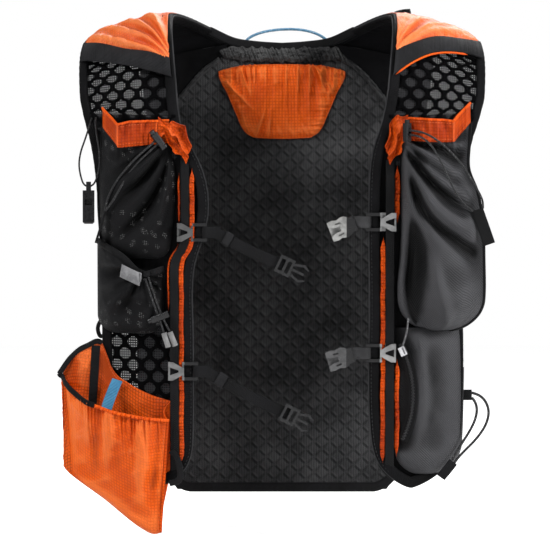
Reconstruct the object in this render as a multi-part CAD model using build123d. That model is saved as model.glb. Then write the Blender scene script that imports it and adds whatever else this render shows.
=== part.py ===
"""Hydration running vest: a back panel with a bag and reservoir behind it, a yoke and two front panels.

Row frame, millimetres: X to the wearer's left, Y from chest to back, Z up.
The origin is the middle of the back panel's flat wearer-side face, which is the plane Y = 0.
"left" and "right" are the wearer's. Front pieces are drawn for the left side (+X) and mirrored for the right.
"""

from build123d import *
import math
import os

# Back panel and bag -------------------------------------------------------------------------------
PANEL_NAPE_Z = 198.0  # top edge on the centre line
PANEL_SHOULDER_IN = (45.0, 203.0)  # where the yoke starts on the top edge: half width and height
PANEL_SHOULDER_OUT = (112.0, 186.0)  # where the yoke ends on the top edge
PANEL_BOTTOM_Z = -206.0
PANEL_WAIST_HALF = 130.0
PANEL_HIP_HALF = 126.0
PANEL_BASE_HALF = 96.0
PANEL_T = 6.0
PATCH_T = 1.2
PATCH_TOP_Z = 183.0
PATCH_BOTTOM_Z = 117.0
PATCH_TOP_HALF = 58.0
PATCH_BOTTOM_HALF = 33.0
BAG_DEPTH = 108.0  # furthest reach of the bag behind the wearer's back
BAG_WALL = 1.5
BAG_HALF = 122.0
BAG_TOP_Z = 196.0
BAG_BOTTOM_Z = -200.0
BAG_SHELF_Z = -30.0  # above this height the bag's rear leans forward
BAG_CREST = (45.0, 165.0)  # top of the leaning rear face: Y and Z
REAR_POCKET_GAP = 13.0
REAR_POCKET_WALL = 1.6
REAR_POCKET_HALF = 96.0
REAR_POCKET_Z = (-186.0, -42.0)
RESERVOIR_HALF = 78.0
RESERVOIR_T = 12.0
RESERVOIR_Z = (-168.0, 104.0)
SEAM_GAP = 0.3  # soft pieces that lie on each other

# Front panels -------------------------------------------------------------------------------------
FRONT_Y = -158.0  # front of the chest, at the panel's top edge
FRONT_Z = 130.0  # height of the panel's top edge
FRONT_TILT = 5.0  # degrees: the hem hangs nearer the back than the top edge
WRAP_R = 180.0  # the panels bend round the chest on this radius
WRAP_X = 70.0  # half width at which the panel faces straight forward
FRONT_T = 4.0
HINGE_X = 160.0  # the panels swing about their side seams
DRAWN_RADIUS = 180.0  # cords, locks and tabs are drawn for this radius, and follow the panel if it changes
DRAWN_FRONT = (-158.0, 130.0)  # the whistle and its cord are drawn for this chest depth and top edge
YOKE_T = 5.0
PATCH_LIFT = 0.3
SHOULDER_SKIN_T = 1.0
WING_T = 2.5
WING_FIT = 0.6  # room for the panel to swing in front of the wing
WING_Z = (-180.0, -12.0)

# Rails, clips, straps -----------------------------------------------------------------------------
RAIL_W = 10.0
RAIL_T = 1.4
RAIL_V = -3.8  # middle of the rail webbing, in front of the panel
RAIL_FOOT = 8.0
CLIP_HEIGHT = 16.0
CLIP_WALL = 1.6
CLIP_HALF_V = 2.6
CLIP_FIT = 0.3
CLIP_REACH = 18.0  # from the rail's middle to the strap bar
CLIP_BAR_R = 1.3
STRAP_FIT = 0.3
STRAP_W = 10.0
STRAP_T = 1.3
STRAP_LEAD = 9.0  # the strap runs level from its bar this far, then droops
BUCKLE_W = 16.0
BUCKLE_T = 4.4
LADDER_L = 14.0
PRONG_L = 14.0
SOCKET_L = 19.0
SOCKET_T = 6.2

# Pockets ------------------------------------------------------------------------------------------
POCKET_WALL = 1.4
CUFF_HEIGHT = 19.0
CUFF_WALL = 1.4
STASH = dict(x=(108.0, 160.0), w=(-192.0, -122.0), bulge=20.0, corner=14.0)
ZIP_POCKET = dict(x=(100.8, 156.0), w=(-322.0, -200.0), bulge=13.0, corner=16.0)
POUCH_IN_X = 104.5  # the pouch's inner edge, where it is sewn to the panel
POUCH_TURN = 12.0  # degrees: the pouch's back follows the panel's turn round the chest
POUCH_DEPTH = 34.0
POUCH_WALL = 1.6
POUCH_TOP = [(0, -264), (55, -200), (91, -230)]  # rear rim: inner end, peak, outer end
POUCH_BASE = [(86, -318), (22, -366), (5, -366)]
POUCH_FRONT_RIM = [(-1, -268), (50, -256), (92, -232)]

# Zips ---------------------------------------------------------------------------------------------
COIL_HALF = 1.6
COIL_T = 1.0
TAPE_HALF = 4.0
TAPE_T = 0.6
SLIDER_FIT = 0.3
SLIDER_L = 8.0
SLIDER_HALF = 3.0
SLIDER_T = 1.8
BRIDGE_H = 2.0
PULL_T = 0.9
PULL_AXIS_X = -1.4  # the pull turns here, inside the slider's bridge
POCKET_ZIP = dict(radius=88.0, reach=29.0, rest=-26.0)
POCKET_ZIP_W = -245.0
POCKET_ZIP_X = 109.0  # the zip lies in the plane that touches the pocket at this half width
POCKET_ZIP_APEX = 115.0
MAIN_ZIP = dict(radius=92.0, reach=66.0, rest=60.0)
MAIN_ZIP_DROP = 34.0
MAIN_PULL_L = 22.0

# Cords --------------------------------------------------------------------------------------------
ELASTIC_D = 1.8
WHISTLE_CORD_D = 1.6
SIDE_CORD_D = 2.4
HANG_D = 2.5
PULL_CORD_D = 1.6
LOCK_W = 6.0  # along the cord
LOCK_L = 16.0  # along its button
LOCK_T = 6.4
LOCK_BORE = 2.8
LOCK_SLOT = 6.4
BUTTON_R = 2.3
BUTTON_FIT = 0.25
BUTTON_OUT = 3.0
CLAMP_D = 5.0
CLAMP_L = 13.0
TAB_T = 1.6

# Each route is a list of points from where the cord leaves the object. Those on the front panels are in the
# front frame, drawn for the left side: half width, depth, height. The others are in the row frame.
ROUTES = {
    "hang_loop": [(-36, 13, 196.4), (-35.5, 13, 204), (-30, 13.5, 210.5), (-17, 14, 215.5),
        (0, 14.5, 217.8), (17, 14.5, 217.6), (31, 14, 214.3), (41, 13.5, 208.5), (44.6, 13, 202.5),
        (45, 13, 196.4)],
    "whistle_cord": [(-167.6, -130.8, 128.6), (-168.2, -135.6, 126.2), (-170, -138.6, 119),
        (-173.2, -139, 109), (-176.9, -139, 99), (-178.6, -139, 88), (-177, -139, 77.5),
        (-173.8, -139, 68.6), (-166.0, -139, 68.6), (-162, -139, 77.5), (-160, -139, 89),
        (-160.6, -139, 101), (-162.4, -138.9, 111), (-163.6, -138.5, 119.2), (-164.1, -137, 125.5),
        (-163.9, -132.6, 129.1)],
    "left_drawcord_outer": [(105.3, -17.2, -12.2), (116.6, -28.5, -12.2), (127.3, -33, -16),
        (138, -34.5, -23.5), (148.5, -33.5, -33.5), (157.5, -30, -44.5), (165, -26, -57),
        (171.5, -23, -68), (174.2, -21.7, -75), (173.9, -21.5, -80.0)],
    "left_drawcord_inner": [(105.3, -17.2, -15.8), (116.6, -28.5, -15.8), (126, -32, -21.5),
        (133, -33.8, -31.5), (139, -34, -43.5), (145, -32.8, -56.5), (151.5, -30, -69),
        (158.5, -25.5, -77.5), (165.4, -21.5, -82.7)],
    "right_drawcord_outer": [(105.8, -5.9, -18.1), (116.7, -10.5, -27.4), (126, -11.2, -35.5),
        (135, -9.8, -45), (143.5, -6, -55.5), (150.3, -1, -67), (154, 2.8, -77), (155, 4.4, -84.6)],
    "right_drawcord_inner": [(103.8, -5.1, -20.9), (114.7, -9.7, -30.2), (124.5, -11.2, -39.5),
        (134, -10, -51), (141.5, -7.3, -63.5), (147, -4, -73.5), (152, -1, -80), (154.8, 0.2, -84.6)],
    "stash_cord_outer": [(119.7, -7.4, -142), (114.5, -9.8, -157.4), (110.2, -10.8, -169.8),
        (106.2, -10.8, -180.6), (103.4, -10.8, -189.3)],
    "stash_cord_inner": [(117.0, -7.0, -141), (111.9, -9.8, -156.4), (107.4, -10.8, -168.6),
        (103, -10.8, -179.4), (98.3, -10.8, -188.2)],
    "side_cord_inner": [(167.8, 23.6, -250.8), (170.6, 23.4, -253.6), (172.6, 21.5, -261),
        (170.6, 18.5, -270), (165.5, 14.5, -279.5), (159, 9.5, -288.5), (153.2, 3.5, -297),
        (149.4, -1.3, -302.4)],
    "side_cord_outer": [(166.9, 23.6, -246.2), (173.5, 23.9, -247.6), (180, 23, -253.5),
        (183, 21.5, -262), (181.5, 19, -271), (176.5, 16, -280), (169, 12, -288.5), (161, 7.5, -295.5),
        (154.5, 2.5, -301.5), (151.2, -1.3, -305.4)],
    "pocket_zip_cord": [(105.4, -5.6, -201.2), (106.6, -10, -196.6), (107.9, -16, -190.8),
        (108.8, -22, -184), (109.2, -27, -175.5)],
}

# What differs between the wearer's left and right -------------------------------------------------
SIDES = {
    "left": dict(
        outline=[(92, 0), (79, -33), (77.5, -60), (79, -300), (92, -324), (128, -324), (157, -292),
                 (158, -62), (172, 0)],
        rounds=[0, 14, 30, 20, 20, 24, 30, 30, 0],
        rail=[(92.5, -44), (92.5, -310)],
        feet=[-44, -150, -310],
        clips=dict(upper=-93.0, lower=-208.0),
        droop=dict(upper=21.0, lower=17.0),
        strap=dict(upper=6.5, lower=8.0),
        bottle=dict(x=(102.5, 168.0), w=(-190.0, -25.0), bulge=42.0, corner=26.0),
        male=False,
    ),
    "right": dict(
        outline=[(95, 0), (88, -20), (74, -38), (66, -64), (67, -98), (79, -126), (80, -300), (90, -324),
                 (125, -324), (152, -292), (158, -150), (162, -62), (174, 0)],
        rounds=[0, 14, 20, 14, 14, 30, 20, 16, 24, 30, 60, 60, 0],
        rail=[(85, -40), (85, -112), (93, -128), (93, -314)],
        feet=[-40, -120, -314],
        clips=dict(upper=-102.0, lower=-224.0),
        droop=dict(upper=26.0, lower=28.0),
        strap=dict(upper=66.0, lower=81.0),
        bottle=dict(x=(100.0, 160.0), w=(-117.0, -25.0), bulge=17.0, corner=10.0),
        male=True,
    ),
}

FRONT = Location((0, FRONT_Y, FRONT_Z), (FRONT_TILT, 0, 0))
nodes = {}


def keep(name, *shapes):
    """Files the solids of one named piece."""
    solids = [solid for shape in shapes for solid in shape.solids()]
    nodes[name] = Compound(children=[Solid(s.wrapped) for s in solids]) if len(solids) > 1 else solids[0]


def outline(points, radii=0.0):
    """A closed outline whose corners are rounded by radii, one number or one for each point."""
    face = make_face(Polyline(*points, close=True))
    rounds = [radii] * len(points) if isinstance(radii, (int, float)) else list(radii)
    for point, radius in zip(points, rounds):
        if radius > 0:
            corner = min(face.vertices(), key=lambda v: (v.X - point[0]) ** 2 + (v.Y - point[1]) ** 2)
            face = fillet(corner, radius)
    return face


def both_halves(points):
    """Points of a half outline, and their mirror images back to the start."""
    return list(points) + [(-x, y) for x, y in reversed(points) if x > 0]


def upright(face, near, far):
    """An outline drawn in X and Z, as a solid from Y = near to Y = far."""
    return Pos(0, far, 0) * extrude(Plane.XZ * face, amount=far - near)


def box_between(low, high):
    """A box given by two opposite corners."""
    size = [b - a for a, b in zip(low, high)]
    middle = [(a + b) / 2 for a, b in zip(low, high)]
    return Pos(*middle) * Box(*size)


def mirrored(shape):
    return mirror(shape, about=Plane.YZ)


def wrap_v(x, lift=0.0):
    """How far back the panel's front surface lies at a half width, or one lifted off it."""
    return WRAP_R - math.sqrt((WRAP_R + lift) ** 2 - (x - WRAP_X) ** 2)


def wrap_shift(x):
    """How much further back the panel lies, at a half width, than on the radius the pieces are drawn for."""
    drawn = DRAWN_RADIUS - math.sqrt(DRAWN_RADIUS**2 - (x - WRAP_X) ** 2)
    return wrap_v(x) - drawn


def front_shift(shape):
    """A piece drawn in the row frame by the panel's top outer corner, moved with that corner."""
    return Pos(0, FRONT_Y - DRAWN_FRONT[0] + wrap_shift(166), FRONT_Z - DRAWN_FRONT[1]) * shape


def wrap_band(inner, outer, low, high):
    """The wall between two heights above the panel's front surface, in the front frame."""
    ring = Circle(WRAP_R + outer) - Circle(WRAP_R + inner)
    return Pos(WRAP_X, WRAP_R, low) * extrude(ring, high - low)


def placed(shape, side):
    """A piece drawn in the front frame for the left side, moved to its side in the row frame."""
    moved = FRONT * shape
    return moved if side == "left" else mirrored(moved)


def front_point(x, v, w):
    """A point of the front frame, in the row frame."""
    return (FRONT * Pos(x, v, w)).position


# Back: panel, patch, bag, pocket, reservoir -------------------------------------------------------


def back_outline():
    half = [
        (0.0, PANEL_NAPE_Z),
        PANEL_SHOULDER_IN,
        PANEL_SHOULDER_OUT,
        (124.0, 120.0),
        (PANEL_WAIST_HALF, -20.0),
        (PANEL_HIP_HALF, -150.0),
        (PANEL_BASE_HALF, PANEL_BOTTOM_Z),
    ]
    rounds = [0, 0, 0, 60, 0, 26, 30]
    return outline(both_halves(half), rounds + rounds[:0:-1])


def patch_outline(grow=0.0):
    top, bottom = PATCH_TOP_HALF + grow, PATCH_BOTTOM_HALF + grow
    half = [(top, PATCH_TOP_Z + grow), (bottom, PATCH_BOTTOM_Z - grow)]
    points = half + [(-x, z) for x, z in reversed(half)]
    return outline(points, [3, 12, 12, 3])


def build_back():
    panel = upright(back_outline(), 0, PANEL_T)
    panel -= upright(patch_outline(0.2), -1, PATCH_T + 0.1)
    keep("back_panel", panel)
    keep("nape_patch", upright(patch_outline(), 0.05, PATCH_T))


def bag_side(inset=0.0):
    """The bag's side view, drawn in Y and Z, shrunk by inset all round."""
    near = PANEL_T + SEAM_GAP
    points = [
        (near, BAG_BOTTOM_Z),
        (BAG_DEPTH - 20, BAG_BOTTOM_Z),
        (BAG_DEPTH, BAG_BOTTOM_Z + 26),
        (BAG_DEPTH, BAG_SHELF_Z),
        BAG_CREST,
        (BAG_CREST[0] - 20, BAG_TOP_Z),
        (near, BAG_TOP_Z),
    ]
    side = make_face(Polyline(*points, close=True))
    return offset(side, -inset, kind=Kind.INTERSECTION) if inset else side


def bag_front(inset=0.0):
    """The bag's outline seen from behind, drawn in X and Z."""
    half = [(56.0, BAG_TOP_Z), (106.0, 150.0), (BAG_HALF, 30.0), (BAG_HALF, -160.0), (94.0, BAG_BOTTOM_Z)]
    points = half + [(-x, z) for x, z in reversed(half)]
    face = make_face(Polyline(*points, close=True))
    return offset(face, -inset, kind=Kind.INTERSECTION) if inset else face


def bag_block(inset=0.0):
    side = Plane.YZ * bag_side(inset)
    return extrude(side, amount=200, both=True) & upright(bag_front(inset), -50, 200)


def rear_slope():
    """A frame on the bag's leaning rear face: X runs across, Z up the slope and -Y out of the face."""
    dy, dz = BAG_CREST[0] - BAG_DEPTH, BAG_CREST[1] - BAG_SHELF_Z
    lean = math.degrees(math.atan2(-dy, dz))
    run = math.hypot(dy, dz) - MAIN_ZIP_DROP
    y = BAG_DEPTH + dy * run / math.hypot(dy, dz)
    z = BAG_SHELF_Z + dz * run / math.hypot(dy, dz)
    return Location((0, y, z), (0, 0, 180)) * Location((0, 0, 0), (-lean, 0, 0))


def arc_band(radius, half_width, reach, near, far):
    """Part of a flat ring round the frame's Y axis, up to reach degrees either side of straight up."""
    ring = Circle(radius + half_width) - Circle(radius - half_width)
    far_x = 2 * radius * math.sin(math.radians(reach))
    far_z = 2 * radius * math.cos(math.radians(reach))
    wedge = make_face(Polyline((0, 0), (far_x, far_z), (0, 3 * radius), (-far_x, far_z), close=True))
    return upright(ring & wedge, near, far)


def main_zip_frame():
    """The main zip's arc is centred here."""
    return rear_slope() * Pos(0, 0, -MAIN_ZIP["radius"])


def zip_strip(zip_size):
    """Tape and coil as one strip, drawn round the frame's Y axis with the coil towards -Y."""
    radius, reach = zip_size["radius"], zip_size["reach"]
    tape = arc_band(radius, TAPE_HALF, reach, -SEAM_GAP - TAPE_T, -SEAM_GAP)
    coil = arc_band(radius, COIL_HALF, reach, -SEAM_GAP - TAPE_T - COIL_T, -SEAM_GAP - TAPE_T)
    return tape + coil


def slider_roof():
    """Height of the slider's top above the plane that the zip lies on, as a negative Y."""
    return -SEAM_GAP - TAPE_T - COIL_T - SLIDER_FIT - SLIDER_T


def zip_slider(zip_size):
    """The slider at its rest angle: a roof over the coil, two cheeks beside it and a bridge for the pull."""
    radius, top = zip_size["radius"], slider_roof()
    tape_top = -SEAM_GAP - TAPE_T
    half = SLIDER_HALF
    base = tape_top - SLIDER_FIT
    body = box_between((-SLIDER_L / 2, top, radius - half), (SLIDER_L / 2, base, radius + half))
    groove = arc_band(radius, COIL_HALF + SLIDER_FIT, 20, top + SLIDER_T, 2)
    bridge = box_between((-3.2, top - BRIDGE_H, radius - 1.0), (3.2, top, radius + 1.0))
    eye = box_between((-2.2, top - BRIDGE_H + 0.6, radius - 3), (2.2, top, radius + 3))
    return Rot(0, zip_size["rest"], 0) * (body - groove + (bridge - eye))


def pull_pivot():
    """Height of the pull's pivot, midway up the bridge's eye."""
    return slider_roof() - (BRIDGE_H - 0.6) / 2


def zip_pull(zip_size):
    """A flat tab whose eye hangs in the slider's bridge, lying along the zip."""
    radius, y, half_t = zip_size["radius"], pull_pivot(), PULL_T / 2
    tab = box_between((4.6, y - half_t, -1.9), (MAIN_PULL_L, y + half_t, 1.9))
    eye = box_between((PULL_AXIS_X - 0.4, y - half_t, -2.6), (5.2, y + half_t, 2.6))
    eye -= box_between((PULL_AXIS_X + 0.4, y - 1, -1.4), (3.7, y + 1, 1.4))
    return Rot(0, zip_size["rest"], 0) * Pos(0, 0, radius) * (tab + eye)


def build_bag():
    zip_frame = main_zip_frame()
    keep("main_bag", bag_block() - bag_block(BAG_WALL))
    keep("main_zip", zip_frame * zip_strip(MAIN_ZIP))
    keep("main_zip_slider", zip_frame * zip_slider(MAIN_ZIP))
    keep("main_zip_pull", zip_frame * zip_pull(MAIN_ZIP))

    near = BAG_DEPTH + SEAM_GAP
    far = near + REAR_POCKET_GAP + 2 * REAR_POCKET_WALL
    low, high = REAR_POCKET_Z
    half, wall = REAR_POCKET_HALF, REAR_POCKET_WALL
    shell = box_between((-half, near, low), (half, far, high))
    shell -= box_between((-half + wall, near + wall, low + wall), (half - wall, far - wall, high + 1))
    keep("rear_pocket", shell)


def build_reservoir():
    near = PANEL_T + SEAM_GAP + BAG_WALL + 1.0
    low, high = RESERVOIR_Z
    side = RESERVOIR_HALF + 8
    rear = near + RESERVOIR_T + 3
    sleeve = box_between((-side, rear - 1, low - 8), (side, rear, high - 20))
    hem = box_between((-side, near, low - 9), (side, rear, low - 8))
    keep("reservoir_sleeve", sleeve + hem)
    half = RESERVOIR_HALF
    skin = outline([(-half, low), (half, low), (half, high), (-half, high)], [24, 24, 6, 6])
    bladder = upright(skin, near + 0.5, near + 0.5 + RESERVOIR_T)
    port_y = near + 0.5 + RESERVOIR_T
    port = Pos(0, port_y + 0.6, low + 40) * Rot(90, 0, 0) * Cylinder(16, 1.2)
    spout = Pos(0, port_y - 6, low - 2) * Cylinder(4.2, 6)
    keep("reservoir", bladder + port + spout)
    clamp = box_between((-half - 6, near - 0.8, high + 0.3), (half + 6, near + RESERVOIR_T + 1.5, high + 12))
    clamp -= box_between((-half - 7, near + 4.4, high), (half + 7, near + 7.6, high + 7))
    hook_y = near + 6.0
    shank = box_between((-6, hook_y - 1.5, high + 12), (6, hook_y + 1.5, 168.0))
    window = box_between((-3, hook_y - 3, high + 22), (3, hook_y + 3, 160.0))
    keep("reservoir_clamp", clamp + (shank - window))


# Shoulders: yoke, patches, bands, wings -----------------------------------------------------------


def yoke_stations():
    """Along the left strap, back panel to front panel: inner edge, outer edge, outward direction."""
    end = FRONT * Pos(0, 0, 0.4)
    inner = (end * Pos(92, wrap_v(92) + FRONT_T / 2, 0)).position
    outer = (end * Pos(175, wrap_v(175) + FRONT_T / 2, 0)).position
    foot_in, foot_out = PANEL_SHOULDER_IN, PANEL_SHOULDER_OUT
    rows = [
        ((foot_in[0], PANEL_T / 2, foot_in[1] + SEAM_GAP),
         (foot_out[0], PANEL_T / 2, foot_out[1] + SEAM_GAP), (0, 1, 0)),
        ((66, -5, 214), (136, -9, 197), (0, 0.85, 0.52)),
        ((86, -30, 222), (157, -33, 206), (0.1, 0.5, 0.86)),
        ((98, -62, 223), (170, -60, 203), (0.27, 0, 0.96)),
        ((100, -100, 215), (176, -87, 192), (0.27, -0.42, 0.87)),
        ((98, -133, 190), (177, -109, 170), (0.33, -0.78, 0.53)),
        ((inner.X, inner.Y, inner.Z), (outer.X, outer.Y, outer.Z), (0.38, -0.92, 0.0)),
    ]
    return [(Vector(*a), Vector(*b), Vector(*n).normalized()) for a, b, n in rows]


def station_at(step):
    """A station between two rows, for a fraction of the way."""
    rows = yoke_stations()
    i = min(int(step), len(rows) - 2)
    share = step - i
    return [p + (q - p) * share for p, q in zip(rows[i], rows[i + 1])]


def strap_section(step, low, high, trim_in=0.0, trim_out=0.0):
    """The strap's cross-section at a station, between two heights off its middle."""
    inner, outer, up = station_at(step)
    across = (outer - inner).normalized()
    a, b = inner + across * trim_in, outer - across * trim_out
    up = up - across * up.dot(across)
    up = up.normalized()
    corners = [a + up * low, b + up * low, b + up * high, a + up * high]
    return Face(Wire.make_polygon(corners, close=True))


def strap_loft(steps, low, high, trim_in=0.0, trim_out=0.0):
    wires = [strap_section(s, low, high, trim_in, trim_out).outer_wire() for s in steps]
    return Solid.make_loft(wires, ruled=True)


def build_shoulders():
    half = YOKE_T / 2
    strap = strap_loft(range(len(yoke_stations())), -half, half)
    inner_x, inner_z = PANEL_SHOULDER_IN
    collar_points = [
        (-inner_x + 0.5, inner_z + SEAM_GAP),
        (0, PANEL_NAPE_Z + SEAM_GAP),
        (inner_x - 0.5, inner_z + SEAM_GAP),
        (inner_x - 0.5, inner_z + 6),
        (0, PANEL_NAPE_Z + 6),
        (-inner_x + 0.5, inner_z + 6),
    ]
    collar = upright(make_face(Polyline(*collar_points, close=True)), 0.5, PANEL_T - 0.5)
    keep("shoulder_yoke", strap, mirrored(strap), collar)
    low, high = half + PATCH_LIFT, half + PATCH_LIFT + SHOULDER_SKIN_T
    patch = strap_loft([2.2, 3, 4, 4.55], low, high, 2, 5)
    band = strap_loft([4.58, 5, 5.35], low, high + 0.4, 2, 5)
    keep("shoulder_patches", patch, mirrored(patch), band, mirrored(band))


def build_wings():
    """Side wings from the back panel's edge to the front panel's side seam."""
    front_x, front_v = HINGE_X - 3, wrap_v(HINGE_X) + FRONT_T + WING_FIT
    rear_x = PANEL_WAIST_HALF + SEAM_GAP
    sections = []
    for z in WING_Z:
        w = (z - FRONT_Z) / math.cos(math.radians(FRONT_TILT))
        front = front_point(front_x, front_v, w)
        rear = Vector(rear_x, PANEL_T / 2, z)
        along = (front - rear).cross(Vector(0, 0, 1)).normalized() * WING_T
        sections.append(Wire.make_polygon([rear, front, front - along, rear - along], close=True))
    wing = Solid.make_loft(sections, ruled=True)
    keep("side_wings", wing, mirrored(wing))


# Front panels, rails, clips, straps ---------------------------------------------------------------


def front_slab(points, rounds, inner, outer):
    """An outline drawn in X and w, cut from the wall that wraps round the chest."""
    block = upright(outline(points, rounds), -200, 200)
    low = min(w for _, w in points) - 1
    return wrap_band(inner, outer, low, 1) & block


def build_panel(side):
    size = SIDES[side]
    keep(f"{side}_panel", placed(front_slab(size["outline"], size["rounds"], -FRONT_T, 0), side))
    half_w, half_t = RAIL_W / 2, RAIL_T / 2
    web = [(x - half_w, w) for x, w in size["rail"]] + [(x + half_w, w) for x, w in reversed(size["rail"])]
    rail = upright(outline(web), RAIL_V - half_t, RAIL_V + half_t)
    for w in size["feet"]:
        x = rail_x(side, w)
        foot = box_between((x - half_w, RAIL_V, w - RAIL_FOOT / 2), (x + half_w, 20, w + RAIL_FOOT / 2))
        rail += foot - wrap_band(-WRAP_R + 1, 0.02, w - RAIL_FOOT, w + RAIL_FOOT)
    keep(f"{side}_rail", placed(rail, side))


def rail_x(side, w):
    """Half width of the rail's middle at a height."""
    points = SIDES[side]["rail"]
    for (xa, wa), (xb, wb) in zip(points, points[1:]):
        if wa >= w >= wb:
            return xa + (xb - xa) * (wa - w) / (wa - wb)
    return points[0][0]


def strap_frame(side, level):
    """Origin on the strap's bar, in the front frame, drawn for the left: the strap leaves towards -X."""
    w = SIDES[side]["clips"][level]
    return Location((rail_x(side, w) - CLIP_REACH, RAIL_V, w))


def build_clip(side, level):
    """A bracket on the rail, its face cut to two splayed legs, and two arms that hold the strap's bar."""
    w = SIDES[side]["clips"][level]
    half_h, half_x = CLIP_HEIGHT / 2, RAIL_W / 2 + CLIP_FIT + CLIP_WALL
    bore_x, bore_v = RAIL_W / 2 + CLIP_FIT, RAIL_T / 2 + CLIP_FIT
    bracket = box_between((-half_x, -CLIP_HALF_V, -half_h), (half_x, CLIP_HALF_V, half_h))
    bracket -= box_between((-bore_x, -bore_v, -half_h - 1), (bore_x, bore_v, half_h + 1))
    notch = outline([(half_x + 1, -4.4), (-2.2, -0.9), (-2.2, 0.9), (half_x + 1, 4.4)])
    bracket -= upright(notch, -CLIP_HALF_V - 1, -bore_v)
    edge = [(-half_x - 1, 3.4), (-half_x + 1.6, 3.4), (half_x - 2.4, half_h + 1), (-half_x - 1, half_h + 1)]
    slope = upright(outline(edge), -CLIP_HALF_V - 1, -bore_v)
    bracket -= slope
    bracket -= mirror(slope, about=Plane.XY)
    arm_w = STRAP_W / 2 + STRAP_FIT
    for sign in (-1, 1):
        low, high = sorted((sign * arm_w, sign * half_h))
        far = CLIP_REACH + CLIP_BAR_R
        bracket += box_between((-far, -CLIP_BAR_R, low), (-half_x + 0.5, CLIP_BAR_R, high))
    bracket += Pos(-CLIP_REACH, 0, 0) * Cylinder(CLIP_BAR_R, 2 * arm_w + 1)
    keep(f"{side}_{level}_clip", placed(Pos(rail_x(side, w), RAIL_V, w) * bracket, side))


def droop_frame(side, level):
    """Origin where the strap has finished its level start, with -X along the drooping strap."""
    return Pos(-STRAP_LEAD, 0, 0) * Rot(0, -SIDES[side]["droop"][level], 0)


def build_strap(side, level):
    """An eye round the clip's bar, a level start, and a drooping run that ends in its buckle half."""
    length = SIDES[side]["strap"][level]
    eye_r = CLIP_BAR_R + STRAP_FIT + STRAP_T
    half_w, half_t = STRAP_W / 2, STRAP_T / 2
    lead = box_between((-STRAP_LEAD, -half_t, -half_w), (0, half_t, half_w))
    joint = Pos(-STRAP_LEAD, 0, 0) * Rot(90, 0, 0) * Cylinder(half_w, STRAP_T)
    run = droop_frame(side, level) * box_between((-length, -half_t, -half_w), (0, half_t, half_w))
    strap = Cylinder(eye_r, STRAP_W) + lead + joint + run
    strap -= Cylinder(CLIP_BAR_R + STRAP_FIT, STRAP_W + 1)
    frame = strap_frame(side, level)
    keep(f"{side}_{level}_strap", placed(frame * strap, side))
    buckle = male_buckle() if SIDES[side]["male"] else female_buckle()
    buckle = frame * droop_frame(side, level) * Pos(-length, 0, 0) * buckle
    keep(f"{side}_{level}_buckle", placed(buckle, side))


def male_buckle():
    """A ladder frame over the strap's end, then two prongs and a guide between them, all towards -X."""
    half_w, half_t, slot = BUCKLE_W / 2, BUCKLE_T / 2, STRAP_W / 2 + STRAP_FIT
    frame = box_between((-LADDER_L + 6, -half_t, -half_w), (6, half_t, half_w))
    frame -= box_between((-LADDER_L + 8.2, -9, -slot), (3.8, 9, slot))
    frame -= box_between((3.7, -STRAP_T / 2 - STRAP_FIT, -slot), (7, STRAP_T / 2 + STRAP_FIT, slot))
    frame += box_between((-2.4, -half_t, -slot - 0.5), (0, half_t, slot + 0.5))
    root = -LADDER_L + 6
    guide = box_between((root - PRONG_L + 3, -1.4, -1.1), (root, 1.4, 1.1))
    tip = root - PRONG_L
    prong = outline([(root, 3.4), (root, 5.6), (root - 9, 8.4), (tip, 5.2), (tip, 4.2), (root - 8.5, 6)])
    prong = upright(prong, -1.5, 1.5)
    return frame + guide + prong + mirror(prong, about=Plane.XY)


def female_buckle():
    """A flat socket open towards -X: narrow neck, shoulders, windows, and a slot that holds the strap's end."""
    half_w, half_t, wall = BUCKLE_W / 2 + 1, SOCKET_T / 2, 1.2
    neck = [(4.5, 6.6), (0.5, 6.6), (-3.5, half_w), (-7, half_w), (-10.5, half_w - 1), (-14, half_w)]
    side = neck + [(-SOCKET_L, half_w - 0.4)]
    body = upright(outline(side + [(x, -z) for x, z in reversed(side)]), -half_t, half_t)
    body -= box_between((-SOCKET_L - 1, -half_t + wall, -half_w + wall), (-4, half_t - wall, half_w - wall))
    body -= box_between((-14, -half_t + wall, -half_w - 1), (-7, half_t - wall, half_w + 1))
    mouth = [(-SOCKET_L - 1, 4.4), (-13.6, 2.2), (-9.4, 2.2)]
    body -= upright(outline(mouth + [(x, -z) for x, z in reversed(mouth)]), -half_t - 1, 0)
    for sign in (-1, 1):
        ear = outline([(-7.6, sign * 4.0), (-12.6, sign * 4.6), (-12.6, sign * 5.9), (-7.6, sign * 5.6)])
        body -= upright(ear, -half_t - 1, 0)
    slot = STRAP_W / 2 + STRAP_FIT
    body -= box_between((0, -STRAP_T / 2 - STRAP_FIT, -slot), (5, STRAP_T / 2 + STRAP_FIT, slot))
    return body


# Pockets on the front panels ----------------------------------------------------------------------


def crescent(pocket, inset=0.0):
    """The pocket's level section: between the panel's front and an arc that bulges off it."""
    x0, x1 = pocket["x"][0] + inset, pocket["x"][1] - inset
    lift = SEAM_GAP + inset
    xm = (x0 + x1) / 2
    start, end = (x0, wrap_v(x0) - lift), (x1, wrap_v(x1) - lift)
    top = (xm, wrap_v(xm) - pocket["bulge"] + inset)
    bulge = make_face([ThreePointArc(start, top, end).edge(), Line(end, start).edge()])
    return bulge - Pos(WRAP_X, WRAP_R) * Circle(WRAP_R + lift)


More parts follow.
